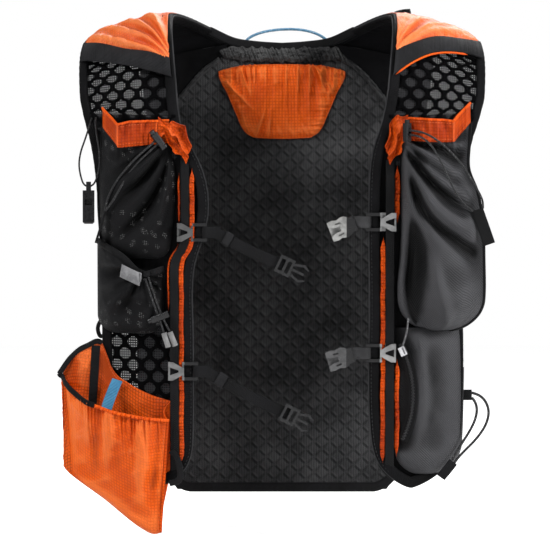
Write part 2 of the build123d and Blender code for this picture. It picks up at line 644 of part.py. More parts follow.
def pocket_v(pocket, x):
    """How far forward the pocket's outer face stands at a half width."""
    x0, x1 = pocket["x"]
    lifts = ((x0, SEAM_GAP), ((x0 + x1) / 2, pocket["bulge"]), (x1, SEAM_GAP))
    points = [(t, wrap_v(t) - lift) for t, lift in lifts]
    (ax, ay), (bx, by), (cx, cy) = points
    d = 2 * (ax * (by - cy) + bx * (cy - ay) + cx * (ay - by))
    a2, b2, c2 = ax * ax + ay * ay, bx * bx + by * by, cx * cx + cy * cy
    ox = (a2 * (by - cy) + b2 * (cy - ay) + c2 * (ay - by)) / d
    oy = (a2 * (cx - bx) + b2 * (ax - cx) + c2 * (bx - ax)) / d
    radius = math.hypot(ax - ox, ay - oy)
    return oy - math.sqrt(max(radius**2 - (x - ox) ** 2, 0))


def open_pocket(pocket, wall=POCKET_WALL):
    """A pouch sewn to the panel, open at its top and rounded at its lower corners."""
    low, high = pocket["w"]
    x0, x1 = pocket["x"]
    reach, r = 3.0, pocket["corner"]
    corners = [(x0 - reach, low), (x1 + reach, low), (x1 + reach, high), (x0 - reach, high)]
    shape = upright(outline(corners, [r, r, 0, 0]), -200, 200)
    inner = upright(
        outline([(x0, low + wall), (x1, low + wall), (x1, high + 2), (x0, high + 2)], [r, r, 0, 0]), -200, 200
    )
    shell = Pos(0, 0, low) * extrude(crescent(pocket), high - low) & shape
    return shell - (Pos(0, 0, low + wall) * extrude(crescent(pocket, wall), high - low) & inner)


def build_bottle_pocket(side):
    """A stretch pocket for a soft bottle, and the gathered cuff round its mouth."""
    pocket = SIDES[side]["bottle"]
    keep(f"{side}_bottle_pocket", placed(open_pocket(pocket), side))
    ring = crescent(pocket) - crescent(pocket, CUFF_WALL)
    cuff = Pos(0, 0, pocket["w"][1] + 0.1) * extrude(ring, CUFF_HEIGHT)
    keep(f"{side}_bottle_cuff", placed(cuff, side))


def build_stash():
    keep("stash_pocket", placed(open_pocket(STASH), "right"))


def zip_pocket_frame():
    """Centre of the pocket zip's arc, in the front frame: its Z points at the middle of the arc."""
    x, step = POCKET_ZIP_X, 0.5
    slope = (pocket_v(ZIP_POCKET, x + step) - pocket_v(ZIP_POCKET, x - step)) / (2 * step)
    turn = math.degrees(math.atan(slope))
    along = (POCKET_ZIP_APEX - x) / math.cos(math.radians(turn)) - POCKET_ZIP["radius"]
    at_touch = Location((x, pocket_v(ZIP_POCKET, x), POCKET_ZIP_W), (0, 0, turn))
    return at_touch * Pos(along, 0, 0) * Location((0, 0, 0), (0, 90, 0))


def build_zip_pocket():
    """The zipped pocket low on the left, its arched zip and slider."""
    low, high = ZIP_POCKET["w"]
    x0, x1 = ZIP_POCKET["x"]
    corners = [(x0 - 3, low), (x1 + 3, low), (x1 + 3, high), (x0 - 3, high)]
    shape = upright(outline(corners, ZIP_POCKET["corner"]), -200, 200)
    shell = Pos(0, 0, low) * extrude(crescent(ZIP_POCKET), high - low) & shape
    wall = POCKET_WALL
    shell -= Pos(0, 0, low + wall) * extrude(crescent(ZIP_POCKET, wall), high - low - 2 * wall) & shape
    keep("zip_pocket", placed(shell, "left"))
    keep("pocket_zip", placed(zip_pocket_frame() * zip_strip(POCKET_ZIP), "left"))
    keep("pocket_zip_slider", placed(zip_pocket_frame() * zip_slider(POCKET_ZIP), "left"))


def pouch_frame():
    """Origin at the pouch's inner edge on the panel, with X along the pouch's back."""
    v = wrap_v(POUCH_IN_X) - SEAM_GAP - POUCH_WALL * math.tan(math.radians(POUCH_TURN))
    return Location((POUCH_IN_X, v, 0), (0, 0, POUCH_TURN))


def build_pouch():
    """The open pouch that hangs from the right panel, its rim binding, its strap and its label."""
    wall, depth = POUCH_WALL, POUCH_DEPTH
    rim = POUCH_TOP + POUCH_BASE
    body = upright(outline(rim, [0, 12, 10, 14, 14, 0]), -depth, 0)
    lifted = [(x, w + 30) for x, w in POUCH_TOP] + POUCH_BASE
    inner = offset(outline(lifted, [0, 12, 10, 14, 14, 0]), -wall)
    body -= upright(inner, -depth + wall, -wall)
    over_rim = POUCH_FRONT_RIM + [(120, -180), (-20, -180)]
    body -= upright(outline(over_rim), -depth - 1, -depth * 0.3)
    keep("side_pouch", placed(pouch_frame() * body, "right"))


# Cords, locks, tabs, whistle ----------------------------------------------------------------------


def cord(name, diameter, side=None):
    """A round cord along its route, with every corner as round as its runs allow."""
    points = [Vector(x, v + wrap_shift(x), w) if side else Vector(x, v, w) for x, v, w in ROUTES[name]]
    radii = []
    for a, b, c in zip(points, points[1:], points[2:]):
        turn = math.radians((b - a).get_angle(c - b))
        radii.append(0.45 * min((b - a).length, (c - b).length) / math.tan(turn / 2))
    path = FilletPolyline(*points, radius=radii)
    tube = sweep(Plane(path @ 0, z_dir=path % 0) * Circle(diameter / 2), path=path)
    expected = math.pi * diameter**2 / 4 * path.length
    ratio = tube.volume / expected
    print(f"{name}: {path.length:.1f} mm, least radius {min(radii):.1f}, volume ratio {ratio:.4f}")
    tube = front_shift(tube) if name == "whistle_cord" else tube
    keep(name, placed(tube, side) if side else tube)


def lock_frames():
    """For each cord lock: its side, and a frame at its middle, X along the cord, Z along the button."""
    left_x, right_x = 110.5, 109.0
    lift = SEAM_GAP + LOCK_T / 2
    left = Location((left_x, -17.7 + wrap_shift(left_x), -14), (0, 0, -45)) * Pos(0, -lift, 0)
    right = Location((right_x, -3.7 + wrap_shift(right_x), -22), (0, 0, -23)) * Rot(0, 38, 0)
    right = right * Pos(0, -lift, 0)
    stash = Location((106.8, -10.8 + wrap_shift(106.8), -175.6)) * Rot(0, 111, 0)
    return {"left_lock": ("left", left), "right_lock": ("right", right), "stash_lock": ("right", stash)}


def build_lock(name):
    """A barrel with a slot for two cords across it and a spring button in its end."""
    side, frame = lock_frames()[name]
    half_w, half_l, half_t = LOCK_W / 2, LOCK_L / 2, LOCK_T / 2
    barrel = box_between((-half_w, -half_t, -half_l), (half_w, half_t, half_l))
    barrel = fillet(barrel.edges().filter_by(Axis.Z), 1.5)
    bore = LOCK_BORE / 2
    barrel -= box_between((-half_w - 1, -bore, -LOCK_SLOT / 2), (half_w + 1, bore, LOCK_SLOT / 2))
    seat = LOCK_SLOT / 2 + 1.2
    barrel -= Pos(0, 0, (seat + half_l + 1) / 2) * Cylinder(BUTTON_R + BUTTON_FIT, half_l + 1 - seat)
    keep(name, placed(frame * barrel, side))
    low, high = half_l - 1.4, half_l + BUTTON_OUT
    button = Pos(0, 0, (low + high) / 2) * Cylinder(BUTTON_R, high - low)
    keep(f"{name}_button", placed(frame * button, side))


def tab_between(top, bottom, wide, across="x"):
    """A flat webbing tab from one point to another, its width across X or across the depth."""
    a, b = Vector(*top), Vector(*bottom)
    lean = math.degrees(math.atan2(b.X - a.X, a.Z - b.Z))
    x, y = (wide, TAB_T) if across == "x" else (TAB_T, wide)
    middle = (a + b) * 0.5
    return Location(tuple(middle)) * Rot(0, -lean, 0) * Box(x, y, (b - a).length)


def build_trimmings():
    left_pull = tab_between((169.4, -21.5, -82.3), (179.6, -21.5, -111), 10.5)
    keep("left_pull_tab", placed(Pos(0, wrap_shift(169.4), 0) * left_pull, "left"))
    right_pull = tab_between((154.9, 2.3, -85.0), (163, 2.3, -111), 8, "v")
    keep("right_pull_tab", placed(Pos(0, wrap_shift(154.9), 0) * right_pull, "right"))
    side_top = Pos(0, wrap_shift(162), 0) * box_between((157.6, 22.8, -253), (166.7, 24.4, -243.4))
    side_foot = Pos(0, wrap_shift(139.4), 0) * tab_between((149.0, -2.0, -305.6), (139.4, -2.0, -318), 8.5)
    keep("side_cord_tabs", placed(side_top, "left"), placed(side_foot, "left"))
    clamps = []
    for x, w, lean in ((101.4, -195.8, 17), (95.8, -194.9, 22)):
        clamp = Location((x, -10.8 + wrap_shift(x), w)) * Rot(0, lean, 0)
        clamps.append(clamp * Cylinder(CLAMP_D / 2, CLAMP_L))
    keep("stash_cord_clamps", *[placed(clamp, "right") for clamp in clamps])


def build_whistle():
    """A flat whistle on its cord: the lug at the top has the hole that the cord goes through."""
    x, y, top = -169.9, -139.0, 68.6
    body = box_between((x - 5, y - 3.6, 35.5), (x + 5, y + 3.6, 65.0))
    body = chamfer(body.edges().group_by(Axis.Z)[0], 1.6)
    lug = box_between((x - 2, y - 3.2, 64), (x + 2, y + 3.2, top + 4))
    hole = Pos(x, y, top) * Rot(0, 90, 0) * Cylinder(1.5, 12)
    slot = box_between((x - 3.2, y - 5, 52), (x + 3.2, y - 2.2, 57))
    chamber = box_between((x - 3.6, y - 2.2, 34), (x + 3.6, y + 2.2, 60))
    keep("whistle", front_shift((body + lug) - hole - slot - chamber))


def build_cords():
    cord("hang_loop", HANG_D)
    cord("whistle_cord", WHISTLE_CORD_D)
    for strand in ("outer", "inner"):
        cord(f"left_drawcord_{strand}", ELASTIC_D, "left")
        cord(f"right_drawcord_{strand}", ELASTIC_D, "right")
        cord(f"stash_cord_{strand}", ELASTIC_D, "right")
        cord(f"side_cord_{strand}", SIDE_CORD_D, "left")
    cord("pocket_zip_cord", PULL_CORD_D, "left")


if __name__ == "__main__":
    build_back()
    build_bag()
    build_reservoir()
    build_shoulders()
    build_wings()
    for side in SIDES:
        build_panel(side)
        build_bottle_pocket(side)
        for level in ("upper", "lower"):
            build_clip(side, level)
            build_strap(side, level)
    build_stash()
    build_zip_pocket()
    build_pouch()
    for name in lock_frames():
        build_lock(name)
    build_trimmings()
    build_whistle()
    build_cords()
    os.makedirs("parts", exist_ok=True)
    for name, shape in nodes.items():
        export_step(shape, f"parts/{name}.step")
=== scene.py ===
"""Looks of a hydration running vest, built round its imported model.

Lengths inside the functions are millimetres; meshes are made in metres.
Every surface is a grid worked out from two parameters, or a profile carried along a path.
"""
import math

import bpy
import numpy as np
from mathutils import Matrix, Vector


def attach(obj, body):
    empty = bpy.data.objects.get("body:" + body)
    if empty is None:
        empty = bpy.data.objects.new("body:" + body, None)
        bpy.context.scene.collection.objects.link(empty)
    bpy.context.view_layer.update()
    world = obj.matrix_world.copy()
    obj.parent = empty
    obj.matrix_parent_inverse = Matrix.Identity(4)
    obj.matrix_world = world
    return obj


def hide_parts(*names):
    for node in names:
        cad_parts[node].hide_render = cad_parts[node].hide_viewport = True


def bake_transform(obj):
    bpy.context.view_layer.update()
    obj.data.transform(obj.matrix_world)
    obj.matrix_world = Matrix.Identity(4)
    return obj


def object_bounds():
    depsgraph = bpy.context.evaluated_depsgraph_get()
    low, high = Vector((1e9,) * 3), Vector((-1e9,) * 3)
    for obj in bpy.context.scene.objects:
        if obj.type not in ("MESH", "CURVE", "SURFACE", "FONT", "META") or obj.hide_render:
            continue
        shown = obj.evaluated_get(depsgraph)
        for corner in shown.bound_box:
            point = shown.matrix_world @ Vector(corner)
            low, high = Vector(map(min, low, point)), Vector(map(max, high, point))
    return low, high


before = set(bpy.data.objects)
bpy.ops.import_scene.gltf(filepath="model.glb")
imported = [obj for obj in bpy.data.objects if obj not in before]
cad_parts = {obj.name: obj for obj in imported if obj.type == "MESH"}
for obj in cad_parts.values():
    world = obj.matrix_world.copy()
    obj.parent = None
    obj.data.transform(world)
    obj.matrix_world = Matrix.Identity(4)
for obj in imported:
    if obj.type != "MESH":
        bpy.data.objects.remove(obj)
cad_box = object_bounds()

WRAP_R, WRAP_X = 180.0, 70.0  # the front panels bend round the chest
LEAN = math.radians(5.0)  # how far the front panels lean back
FRONT_Y, FRONT_Z = -158.0, 130.0  # where the front panels' frame starts
SIGN = {"left": 1, "right": -1}  # the wearer's left lies towards +X
FRONTWARD = np.array([0.0, -1.0, 0.0])
REARWARD = -FRONTWARD
WAVES = 8  # waves added up in a ripple or a crumple
FOLD_REACH = 14.0  # a fold is measured against the cloth's mean shape within this reach
FINE_THREAD = dict(step=2.8, long=1.9, thick=0.4)


# Shapes -------------------------------------------------------------------------------------------


def through(at, knots, values):
    """A smooth line through values at rising knots: cubic between knots, each slope the mean of its two runs."""
    at, knots, values = np.asarray(at, float), np.asarray(knots, float), np.asarray(values, float)
    flat = values.reshape(len(knots), -1)
    runs = np.diff(flat, axis=0) / np.diff(knots)[:, None]
    slope = np.concatenate([runs[:1], (runs[1:] + runs[:-1]) / 2, runs[-1:]])
    i = np.clip(np.searchsorted(knots, at, side="right") - 1, 0, len(knots) - 2)
    h = (knots[i + 1] - knots[i])[..., None]
    s = np.clip((at - knots[i])[..., None] / h, -0.2, 1.2)
    line = (flat[i] * (1 + 2 * s) * (1 - s) ** 2 + slope[i] * h * s * (1 - s) ** 2
            + flat[i + 1] * s**2 * (3 - 2 * s) - slope[i + 1] * h * s**2 * (1 - s))
    return line.reshape(at.shape + values.shape[1:])


def curved(points, count):
    """A number of points on a smooth line through some, each run given the same number."""
    return through(np.linspace(0, 1, count), np.linspace(0, 1, len(points)), points)


def smooth(x, low, high):
    """0 below low, 1 above high, and an S between."""
    s = np.clip((x - low) / (high - low), 0, 1)
    return s * s * (3 - 2 * s)


def ripple(t, seed, slow=0.6, quick=3.0):
    """Uneven waves: a sum of sines with chosen numbers of turns per unit, from a fixed seed, about -1 to 1."""
    rng = np.random.default_rng(seed)
    turns = rng.uniform(slow, quick, WAVES)
    start = rng.uniform(0, 2 * np.pi, WAVES)
    size = 1 / np.sqrt(turns)
    waves = size * np.sin(2 * np.pi * turns * np.asarray(t, float)[..., None] + start)
    return waves.sum(-1) / (1.4 * np.sqrt((size**2).sum()))


def crumple(x, y, size, seed):
    """Soft creases: the mean of one minus the absolute sine of plane waves in random directions, 0 to 1."""
    rng = np.random.default_rng(seed)
    total = 0.0
    ways, starts, scales = (rng.uniform(low, high, WAVES) for low, high in ((0, np.pi), (0, 6.3), (0.6, 1.7)))
    for way, start, scale in zip(ways, starts, scales):
        wave = (x * np.cos(way) + y * np.sin(way)) * np.pi / (size * scale) + start
        total = total + (1 - np.abs(np.sin(wave + 0.6 * np.sin(0.37 * wave + start)))) ** 2
    return total / WAVES


def creased(x, y, size, seed, high, middle=0.4):
    """Soft creases as a lift: how far they stand over their middle value, times a height."""
    return (crumple(x, y, size, seed) - middle) * high


def parts(across, down, first=0.0):
    """A grid's two parameters: from first to 1 across, and from 0 to 1 down."""
    return np.linspace(first, 1, across)[None], np.linspace(0, 1, down)[:, None]


def rounded(t, part):
    """A quarter circle: 0 at t = 0 and 1 from the given part on."""
    return np.sqrt(np.clip(1 - (1 - np.minimum(t / part, 1)) ** 2, 0, 1))


def dome(t, top, wide):
    """A bell curve: 1 at the top, falling as the square of the distance over the width."""
    return np.exp(-((t - top) / wide) ** 2)


def averaged(line, reach):
    """A line of points, each the mean of its neighbours within a reach, the ends held."""
    count = 2 * reach + 1
    columns = np.asarray(line, float).reshape(len(line), -1).T
    means = [np.convolve(np.pad(column, reach, "edge"), np.ones(count) / count, "valid") for column in columns]
    return np.stack(means, -1).reshape(np.shape(line))


def between(start, end, k):
    """The point at part k of the way from one point to another."""
    return start * (1 - k) + end * k


def turning(path):
    """The direction square to a path in the plane of the back."""
    return np.cross(np.gradient(path, axis=0), REARWARD)


def front(x, v, w, side="left"):
    """From the front panels' frame to the object's: leaned about X, carried to the chest, mirrored for the right."""
    x, v, w = np.broadcast_arrays(np.asarray(x, float), v, w)
    y = FRONT_Y + v * math.cos(LEAN) - w * math.sin(LEAN)
    z = FRONT_Z + v * math.sin(LEAN) + w * math.cos(LEAN)
    return np.stack([SIGN[side] * x, y, z], -1)


def wrap(x):
    """Depth of the panel's front at half width x, on its circle round the chest."""
    return WRAP_R - np.sqrt(WRAP_R**2 - (np.asarray(x, float) - WRAP_X) ** 2)


def pocket_lift(a, x0, x1, bulge):
    """How far a pocket stands off its panel at the part a of its width: an arc through its edges and its middle."""
    lifts = np.array([0.3, bulge, 0.3])
    px = np.array([x0, (x0 + x1) / 2, x1])
    py = wrap(px) - lifts
    d = 2 * (px[0] * (py[1] - py[2]) + px[1] * (py[2] - py[0]) + px[2] * (py[0] - py[1]))
    sq = px**2 + py**2
    ox = (sq[0] * (py[1] - py[2]) + sq[1] * (py[2] - py[0]) + sq[2] * (py[0] - py[1])) / d
    oy = (sq[0] * (px[2] - px[1]) + sq[1] * (px[0] - px[2]) + sq[2] * (px[1] - px[0])) / d
    radius = math.hypot(px[0] - ox, py[0] - oy)
    x = x0 + a * (x1 - x0)
    return wrap(x) - (oy - np.sqrt(np.maximum(radius**2 - (x - ox) ** 2, 0)))


def unit(v):
    """Vectors made one long."""
    return v / np.maximum(np.linalg.norm(v, axis=-1, keepdims=True), 1e-9)


def normals(grid):
    """Outward direction at each point of a grid: its two rows' directions crossed."""
    return unit(np.cross(np.gradient(grid, axis=0), np.gradient(grid, axis=1)))


def flat_lengths(grid):
    """Each point's place on the cloth laid flat, from its middle, in metres."""
    n, m = grid.shape[:2]
    down = np.concatenate([np.zeros((1, m)), np.linalg.norm(np.diff(grid, axis=0), axis=-1).cumsum(0)])
    along = np.concatenate([np.zeros((n, 1)), np.linalg.norm(np.diff(grid, axis=1), axis=-1).cumsum(1)], 1)
    return np.stack([along - along[:, m // 2, None], down - down[n // 2]], -1) * 0.001


def quads(n, m, around=False):
    """The four-sided faces of a grid of n by m points, joined round its second direction or not."""
    i, j = np.arange(n - 1)[:, None], np.arange(m if around else m - 1)[None]
    a, b = i * m + j, i * m + (j + 1) % m
    return np.stack([a, a + m, b + m, b], -1).reshape(-1, 4)


def cloth(grid, thick, facing=FRONTWARD):
    """A sheet of cloth: a grid, its copy moved back along its normals by the thickness, and the strip round both."""
    flat = flat_lengths(grid)
    if (normals(grid) * facing).sum() < 0:
        grid, flat = grid[:, ::-1], flat[:, ::-1]
    n, m = grid.shape[:2]
    back = grid - normals(grid) * (np.broadcast_to(thick, (n, m))[..., None])
    front_faces = quads(n, m)
    k = n * m
    rim = np.concatenate([np.arange(n) * m, (n - 1) * m + np.arange(1, m),
                          np.arange(n - 2, -1, -1) * m + m - 1, np.arange(m - 2, 0, -1)])
    after = np.roll(rim, -1)
    edge = np.stack([after, rim, rim + k, after + k], -1)
    faces = np.concatenate([front_faces, front_faces[:, ::-1] + k, edge])
    points = np.concatenate([grid.reshape(-1, 3), back.reshape(-1, 3)])
    return points, faces, np.concatenate([flat.reshape(-1, 2)] * 2)


def carried(path, across, profile, taper=None):
    """A closed profile carried along a path: its first number runs across, its second square to that and the path."""
    path = np.asarray(path, float)
    ahead = unit(np.gradient(path, axis=0))
    across = np.broadcast_to(across, path.shape)
    across = unit(across - ahead * (across * ahead).sum(-1, keepdims=True))
    up = np.cross(across, ahead)
    size = np.ones(len(path)) if taper is None else taper
    p = profile[None] * size[:, None, None]
    grid = path[:, None] + across[:, None] * p[..., :1] + up[:, None] * p[..., 1:]
    n, m = grid.shape[:2]
    faces = quads(n, m, around=True)
    run = np.concatenate([[0], np.linalg.norm(np.diff(path, axis=0), axis=-1).cumsum()]) * 0.001
    ring = np.linalg.norm(np.roll(profile, -1, 0) - profile, axis=-1)
    ring = np.concatenate([[0], ring.cumsum()]) * 0.001
    i, j = np.divmod(np.arange(len(faces)), m)
    u = np.stack([ring[j], ring[j], ring[j + 1], ring[j + 1]], -1)
    v = np.stack([run[i], run[i + 1], run[i + 1], run[i]], -1)
    return grid.reshape(-1, 3), faces, np.stack([u, v], -1).reshape(-1, 2), (n, m)


def flat_profile(width, thick, square=0.3, count=20):
    """A flattened oval whose sides are nearly straight: cosine and sine raised to powers below one."""
    t = (np.arange(count) + 0.5) / count * 2 * np.pi
    c, s = np.cos(t), np.sin(t)
    return np.stack([width / 2 * np.sign(c) * np.abs(c) ** square, thick / 2 * np.sign(s) * np.abs(s) ** 0.6], -1)


def piece(name, points, faces, flat, finish, body, stands_for=None, slot=None):
    """Makes a finished piece from points in millimetres and rides it on its body, if it has just one.

    Its finish's material slot, or one that is named, is looked up but not given to it."""
    mesh = bpy.data.meshes.new(name)
    mesh.from_pydata((np.asarray(points) * 0.001).tolist(), [], [list(f) for f in faces])
    loops = np.empty(len(mesh.loops), np.int32)
    mesh.loops.foreach_get("vertex_index", loops)
    if flat is not None:
        given = flat[loops] if len(flat) == len(points) else flat
        values = np.zeros((len(loops), 2))
        values[:len(given)] = given[:len(loops)]
        mesh.uv_layers.new(name="cut").data.foreach_set("uv", values.ravel())
    mesh.polygons.foreach_set("use_smooth", np.ones(len(mesh.polygons), bool))
    mesh.materials.append(finish)
    made = bpy.data.objects.new(name, mesh)
    bpy.context.scene.collection.objects.link(made)
    if body:
        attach(made, body)
    slot or SLOT_OF[finish.name]
    if stands_for:
        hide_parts(stands_for)
    return made


def fold_depth(grid):
    """How far each point stands out of the cloth's shape averaged over a reach: crests above 0, hollows below."""
    soft = grid
    size = min(np.linalg.norm(np.diff(grid, axis=axis), axis=-1).sum(axis).mean() for axis in (0, 1))
    for axis in (0, 1, 0, 1):
        gap = np.linalg.norm(np.diff(grid, axis=axis), axis=-1).mean()
        half = int(np.clip(min(FOLD_REACH, 0.2 * size) / max(gap, 0.01), 1, grid.shape[axis] // 3))
        room = [(half + 1, half) if k == axis else (0, 0) for k in range(3)]
        total = np.pad(soft, room, mode="reflect", reflect_type="odd").cumsum(axis)
        first, last = [slice(None)] * 3, [slice(None)] * 3
        first[axis], last[axis] = slice(0, grid.shape[axis]), slice(2 * half + 1, None)
        soft = (total[tuple(last)] - total[tuple(first)]) / (2 * half + 1)
    return ((grid - soft) * normals(grid)).sum(-1)


def sheet_piece(name, grid, thick, finish, body="pack", stands_for=None, facing=FRONTWARD):
    """A sheet of cloth as a piece, which keeps the depth of its folds for its finish."""
    points, faces, flat = cloth(grid, thick, facing)
    made = piece(name, points, faces, flat, finish, body, stands_for)
    depth = fold_depth(points[:len(points) // 2].reshape(grid.shape)).ravel()
    made.data.attributes.new("fold", "FLOAT", "POINT").data.foreach_set("value", np.concatenate([depth, depth]))
    return made


def band(name, path, across, size, finish, body="pack", stands_for=None, taper=None, slot=None):
    """A tape, webbing or padded edge along a path as a piece: a flat profile of a size, its two ends closed."""
    points, faces, flat, (n, m) = carried(path, across, flat_profile(*size), taper)
    ends = [list(range(m)), list(range(n * m - 1, (n - 1) * m - 1, -1))]
    flat = np.concatenate([flat, np.zeros((2 * m, 2))])
    return piece(name, points, [list(f) for f in faces] + ends, flat, finish, body, stands_for, slot)


def even(path, step):
    """Points every step along a path."""
    path = np.asarray(path, float)
    run = np.concatenate([[0], np.linalg.norm(np.diff(path, axis=0), axis=-1).cumsum()])
    at = np.arange(step / 2, run[-1], step)
    return np.stack([np.interp(at, run, path[:, k]) for k in range(3)], -1)


def stitches(name, lines, finish, body="pack", step=3.4, long=2.3, thick=0.55, slot=None):
    """Rows of sewn thread: along each line, small spindles with four sides and two rings, one per step."""
    points, faces, start = [], [], 0
    for path, up in lines:
        centre = even(path, step)
        if len(centre) < 3:
            continue
        ahead = unit(np.gradient(centre, axis=0))
        up = unit(np.broadcast_to(up, centre.shape))
        side = unit(np.cross(ahead, up))
        up = np.cross(side, ahead)
        spots = [(-long / 2, 0, -0.1)]
        for at in (-long * 0.32, long * 0.32):
            spots += [(at, thick / 2, 0), (at, 0, thick / 2), (at, -thick / 2, 0), (at, 0, -thick / 2)]
        spots = np.array(spots + [(long / 2, 0, -0.1)])
        block = (centre[:, None] + ahead[:, None] * spots[:, :1] + side[:, None] * spots[:, 1:2]
                 + up[:, None] * spots[:, 2:])
        ring = [(0, 2, 1), (0, 3, 2), (0, 4, 3), (0, 1, 4)]
        ring += [(1, 2, 6, 5), (2, 3, 7, 6), (3, 4, 8, 7), (4, 1, 5, 8)]
        ring += [(9, 5, 6), (9, 6, 7), (9, 7, 8), (9, 8, 5)]
        for k in range(len(centre)):
            faces += [[v + start + 10 * k for v in face] for face in ring]
        points.append(block.reshape(-1, 3))
        start += 10 * len(centre)
    return piece(name, np.concatenate(points), faces, None, finish, body, slot=slot)


# Finishes -----------------------------------------------------------------------------------------


class Finish:
    """One material: its shader, and short ways to add and join nodes."""

    def __init__(self, name, **sockets):
        self.material = bpy.data.materials.new(name)
        self.material.use_nodes = True
        self.tree = self.material.node_tree
        self.shader = self.tree.nodes["Principled BSDF"]
        for socket, value in sockets.items():
            self.give(self.shader, socket.replace("_", " "), value)

    def give(self, node, socket, value):
        """Joins an output to a socket, or sets the socket."""
        if isinstance(value, bpy.types.NodeSocket):
            self.tree.links.new(value, node.inputs[socket])
        else:
            node.inputs[socket].default_value = value

    def node(self, kind, inputs, out=0, **settings):
        """Adds a node with its settings and inputs, and returns one output."""
        made = self.tree.nodes.new("ShaderNode" + kind)
        for key, value in settings.items():
            setattr(made, key, value)
        for socket, value in inputs.items():
            self.give(made, socket, value)
        return made.outputs[out]

    def sum(self, operation, a, b=0.0, c=0.0):
        """One arithmetic step."""
        return self.node("Math", {0: a, 1: b, 2: c}, operation=operation)

    def times(self, a, b):
        """One number times another."""
        return self.sum("MULTIPLY", a, b)

    def plus(self, a, b):
        """One number plus another."""
        return self.sum("ADD", a, b)

    def place(self, on_cloth=True):
        """The piece's own flat cloth, or the object's coordinates, in metres, split in three."""
        if on_cloth:
            self.spot = self.node("UVMap", {}, uv_map="cut")
        else:
            self.spot = self.node("TexCoord", {}, out=3)
        self.along, self.across, self.high = self.split(self.spot)
        self.object = self.node("TexCoord", {}, out=3)

    def split(self, place):
        """A place's three coordinates."""
        made = self.tree.nodes.new("ShaderNodeSeparateXYZ")
        self.give(made, 0, place)
        return made.outputs

    def noise(self, scale, detail=3.0, rough=0.55, where=None):
        """Cloudy variation over the object, 0 to 1."""
        where = where or self.object
        return self.node("TexNoise", {"Vector": where, "Scale": scale, "Detail": detail, "Roughness": rough})

    def cloud(self, scale, to_low=0.0, to_high=1.0, detail=3.0, room=0.2):
        """Cloudy variation between two values, its middle range stretched over them."""
        return self.range(self.noise(scale, detail), 0.5 - room, 0.5 + room, to_low, to_high)

    def range(self, value, low, high, to_low=0.0, to_high=1.0):
        """Maps low to high onto another range, easing in and out."""
        inputs = {0: value, 1: low, 2: high, 3: to_low, 4: to_high}
        return self.node("MapRange", inputs, interpolation_type="SMOOTHSTEP")

    def lines(self, value, pitch, width):
        """1 on thin lines a pitch apart, 0 between them."""
        fold = self.sum("PINGPONG", value, pitch / 2)
        return self.range(fold, width * 0.3, width * 0.7, 1.0, 0.0)

    def wave(self, value, pitch):
        """A sine with a given wavelength."""
        return self.sum("SINE", self.times(value, 2 * math.pi / pitch))

    def mix(self, part, first, second):
        """Two colours mixed."""
        made = self.tree.nodes.new("ShaderNodeMix")
        made.data_type = "RGBA"
        self.give(made, 0, part)
        self.give(made, 6, first)
        self.give(made, 7, second)
        return made.outputs[2]

    def raise_by(self, height, distance, strength=1.0, over=None):
        """A bump of a height in metres, over an earlier one."""
        inputs = {"Height": height, "Distance": distance, "Strength": strength}
        if over is not None:
            inputs["Normal"] = over
        return self.node("Bump", inputs)

    def paint_fold_shade(self, shade, deep, crest_highlight, most=(0.8, 0.4), reach=2.2):
        """The colour with painted shade down in the cloth's folds and a painted highlight on their crests, fully so at
        a reach.
        """
        depth = self.node("Attribute", {}, out=2, attribute_name="fold")
        shade = self.mix(self.range(depth, -reach, 0.05, most[0], 0.0), shade, deep)
        return self.mix(self.range(depth, 0.1, reach, 0.0, most[1]), shade, crest_highlight)

    def done(self, colour=None, rough=None, normal=None, alpha=None):
        """Joins the results to the shader."""
        for socket, value in (("Base Color", colour), ("Roughness", rough), ("Normal", normal), ("Alpha", alpha)):
            if value is not None:
                self.give(self.shader, socket, value)
        return self.material


def tone(red, green, blue):
    """A colour written in display values, as the shader's linear one."""
    values = np.array([red, green, blue]) / 255.0
    return (*np.where(values < 0.04045, values / 12.92, ((values + 0.055) / 1.055) ** 2.4), 1.0)


def tones(*colours):
    """Several colours, each written as three display values."""
    return [tone(*colour) for colour in colours]


def highlight_tint(shade):
    """A colour as a painted highlight shows it on fold crests: lighter, and towards white by a part of its brightest
    value.
    """
    return (*[min(1.5 * value + 0.05 * max(shade[:3]), 1.0) for value in shade[:3]], 1.0)


def deeper(shade, part):
    """A colour's linear values multiplied, at most 1."""
    return (*[min(value * part, 1.0) for value in shade[:3]], 1.0)


def ripstop(name, light, dark, grid, pitch=0.0029, gloss=0.3, show=0.5):
    """Thin coated cloth: a square grid of thicker threads over a fine plain weave, soft creases and cloudy colour."""
    light, dark, grid = tones(light, dark, grid)
    f = Finish(name, Sheen_Weight=0.0, Specular_IOR_Level=gloss)
    f.place()
    lines = f.sum("MAXIMUM", f.lines(f.along, pitch, pitch * 0.26), f.lines(f.across, pitch, pitch * 0.26))
    weave = f.times(f.wave(f.along, 0.0007), f.wave(f.across, 0.0007))
    shade = f.mix(f.cloud(26.0, detail=4.0), dark, light)
    shade = f.mix(f.times(lines, show), shade, grid)
    # Painted shade in the folds and a painted highlight on their crests.
    shade = f.paint_fold_shade(shade, deeper(dark, 0.4), highlight_tint(light), (0.5, 0.5), reach=1.9)
    creases = f.noise(140.0, 5.0, 0.6)
    normal = f.raise_by(creases, 0.0016, 0.7)
    normal = f.raise_by(f.plus(lines, f.times(weave, 0.3)), 0.00022, 0.8, normal)
    rough = f.cloud(60.0, 0.34, 0.5)
    return f.done(shade, rough, normal)


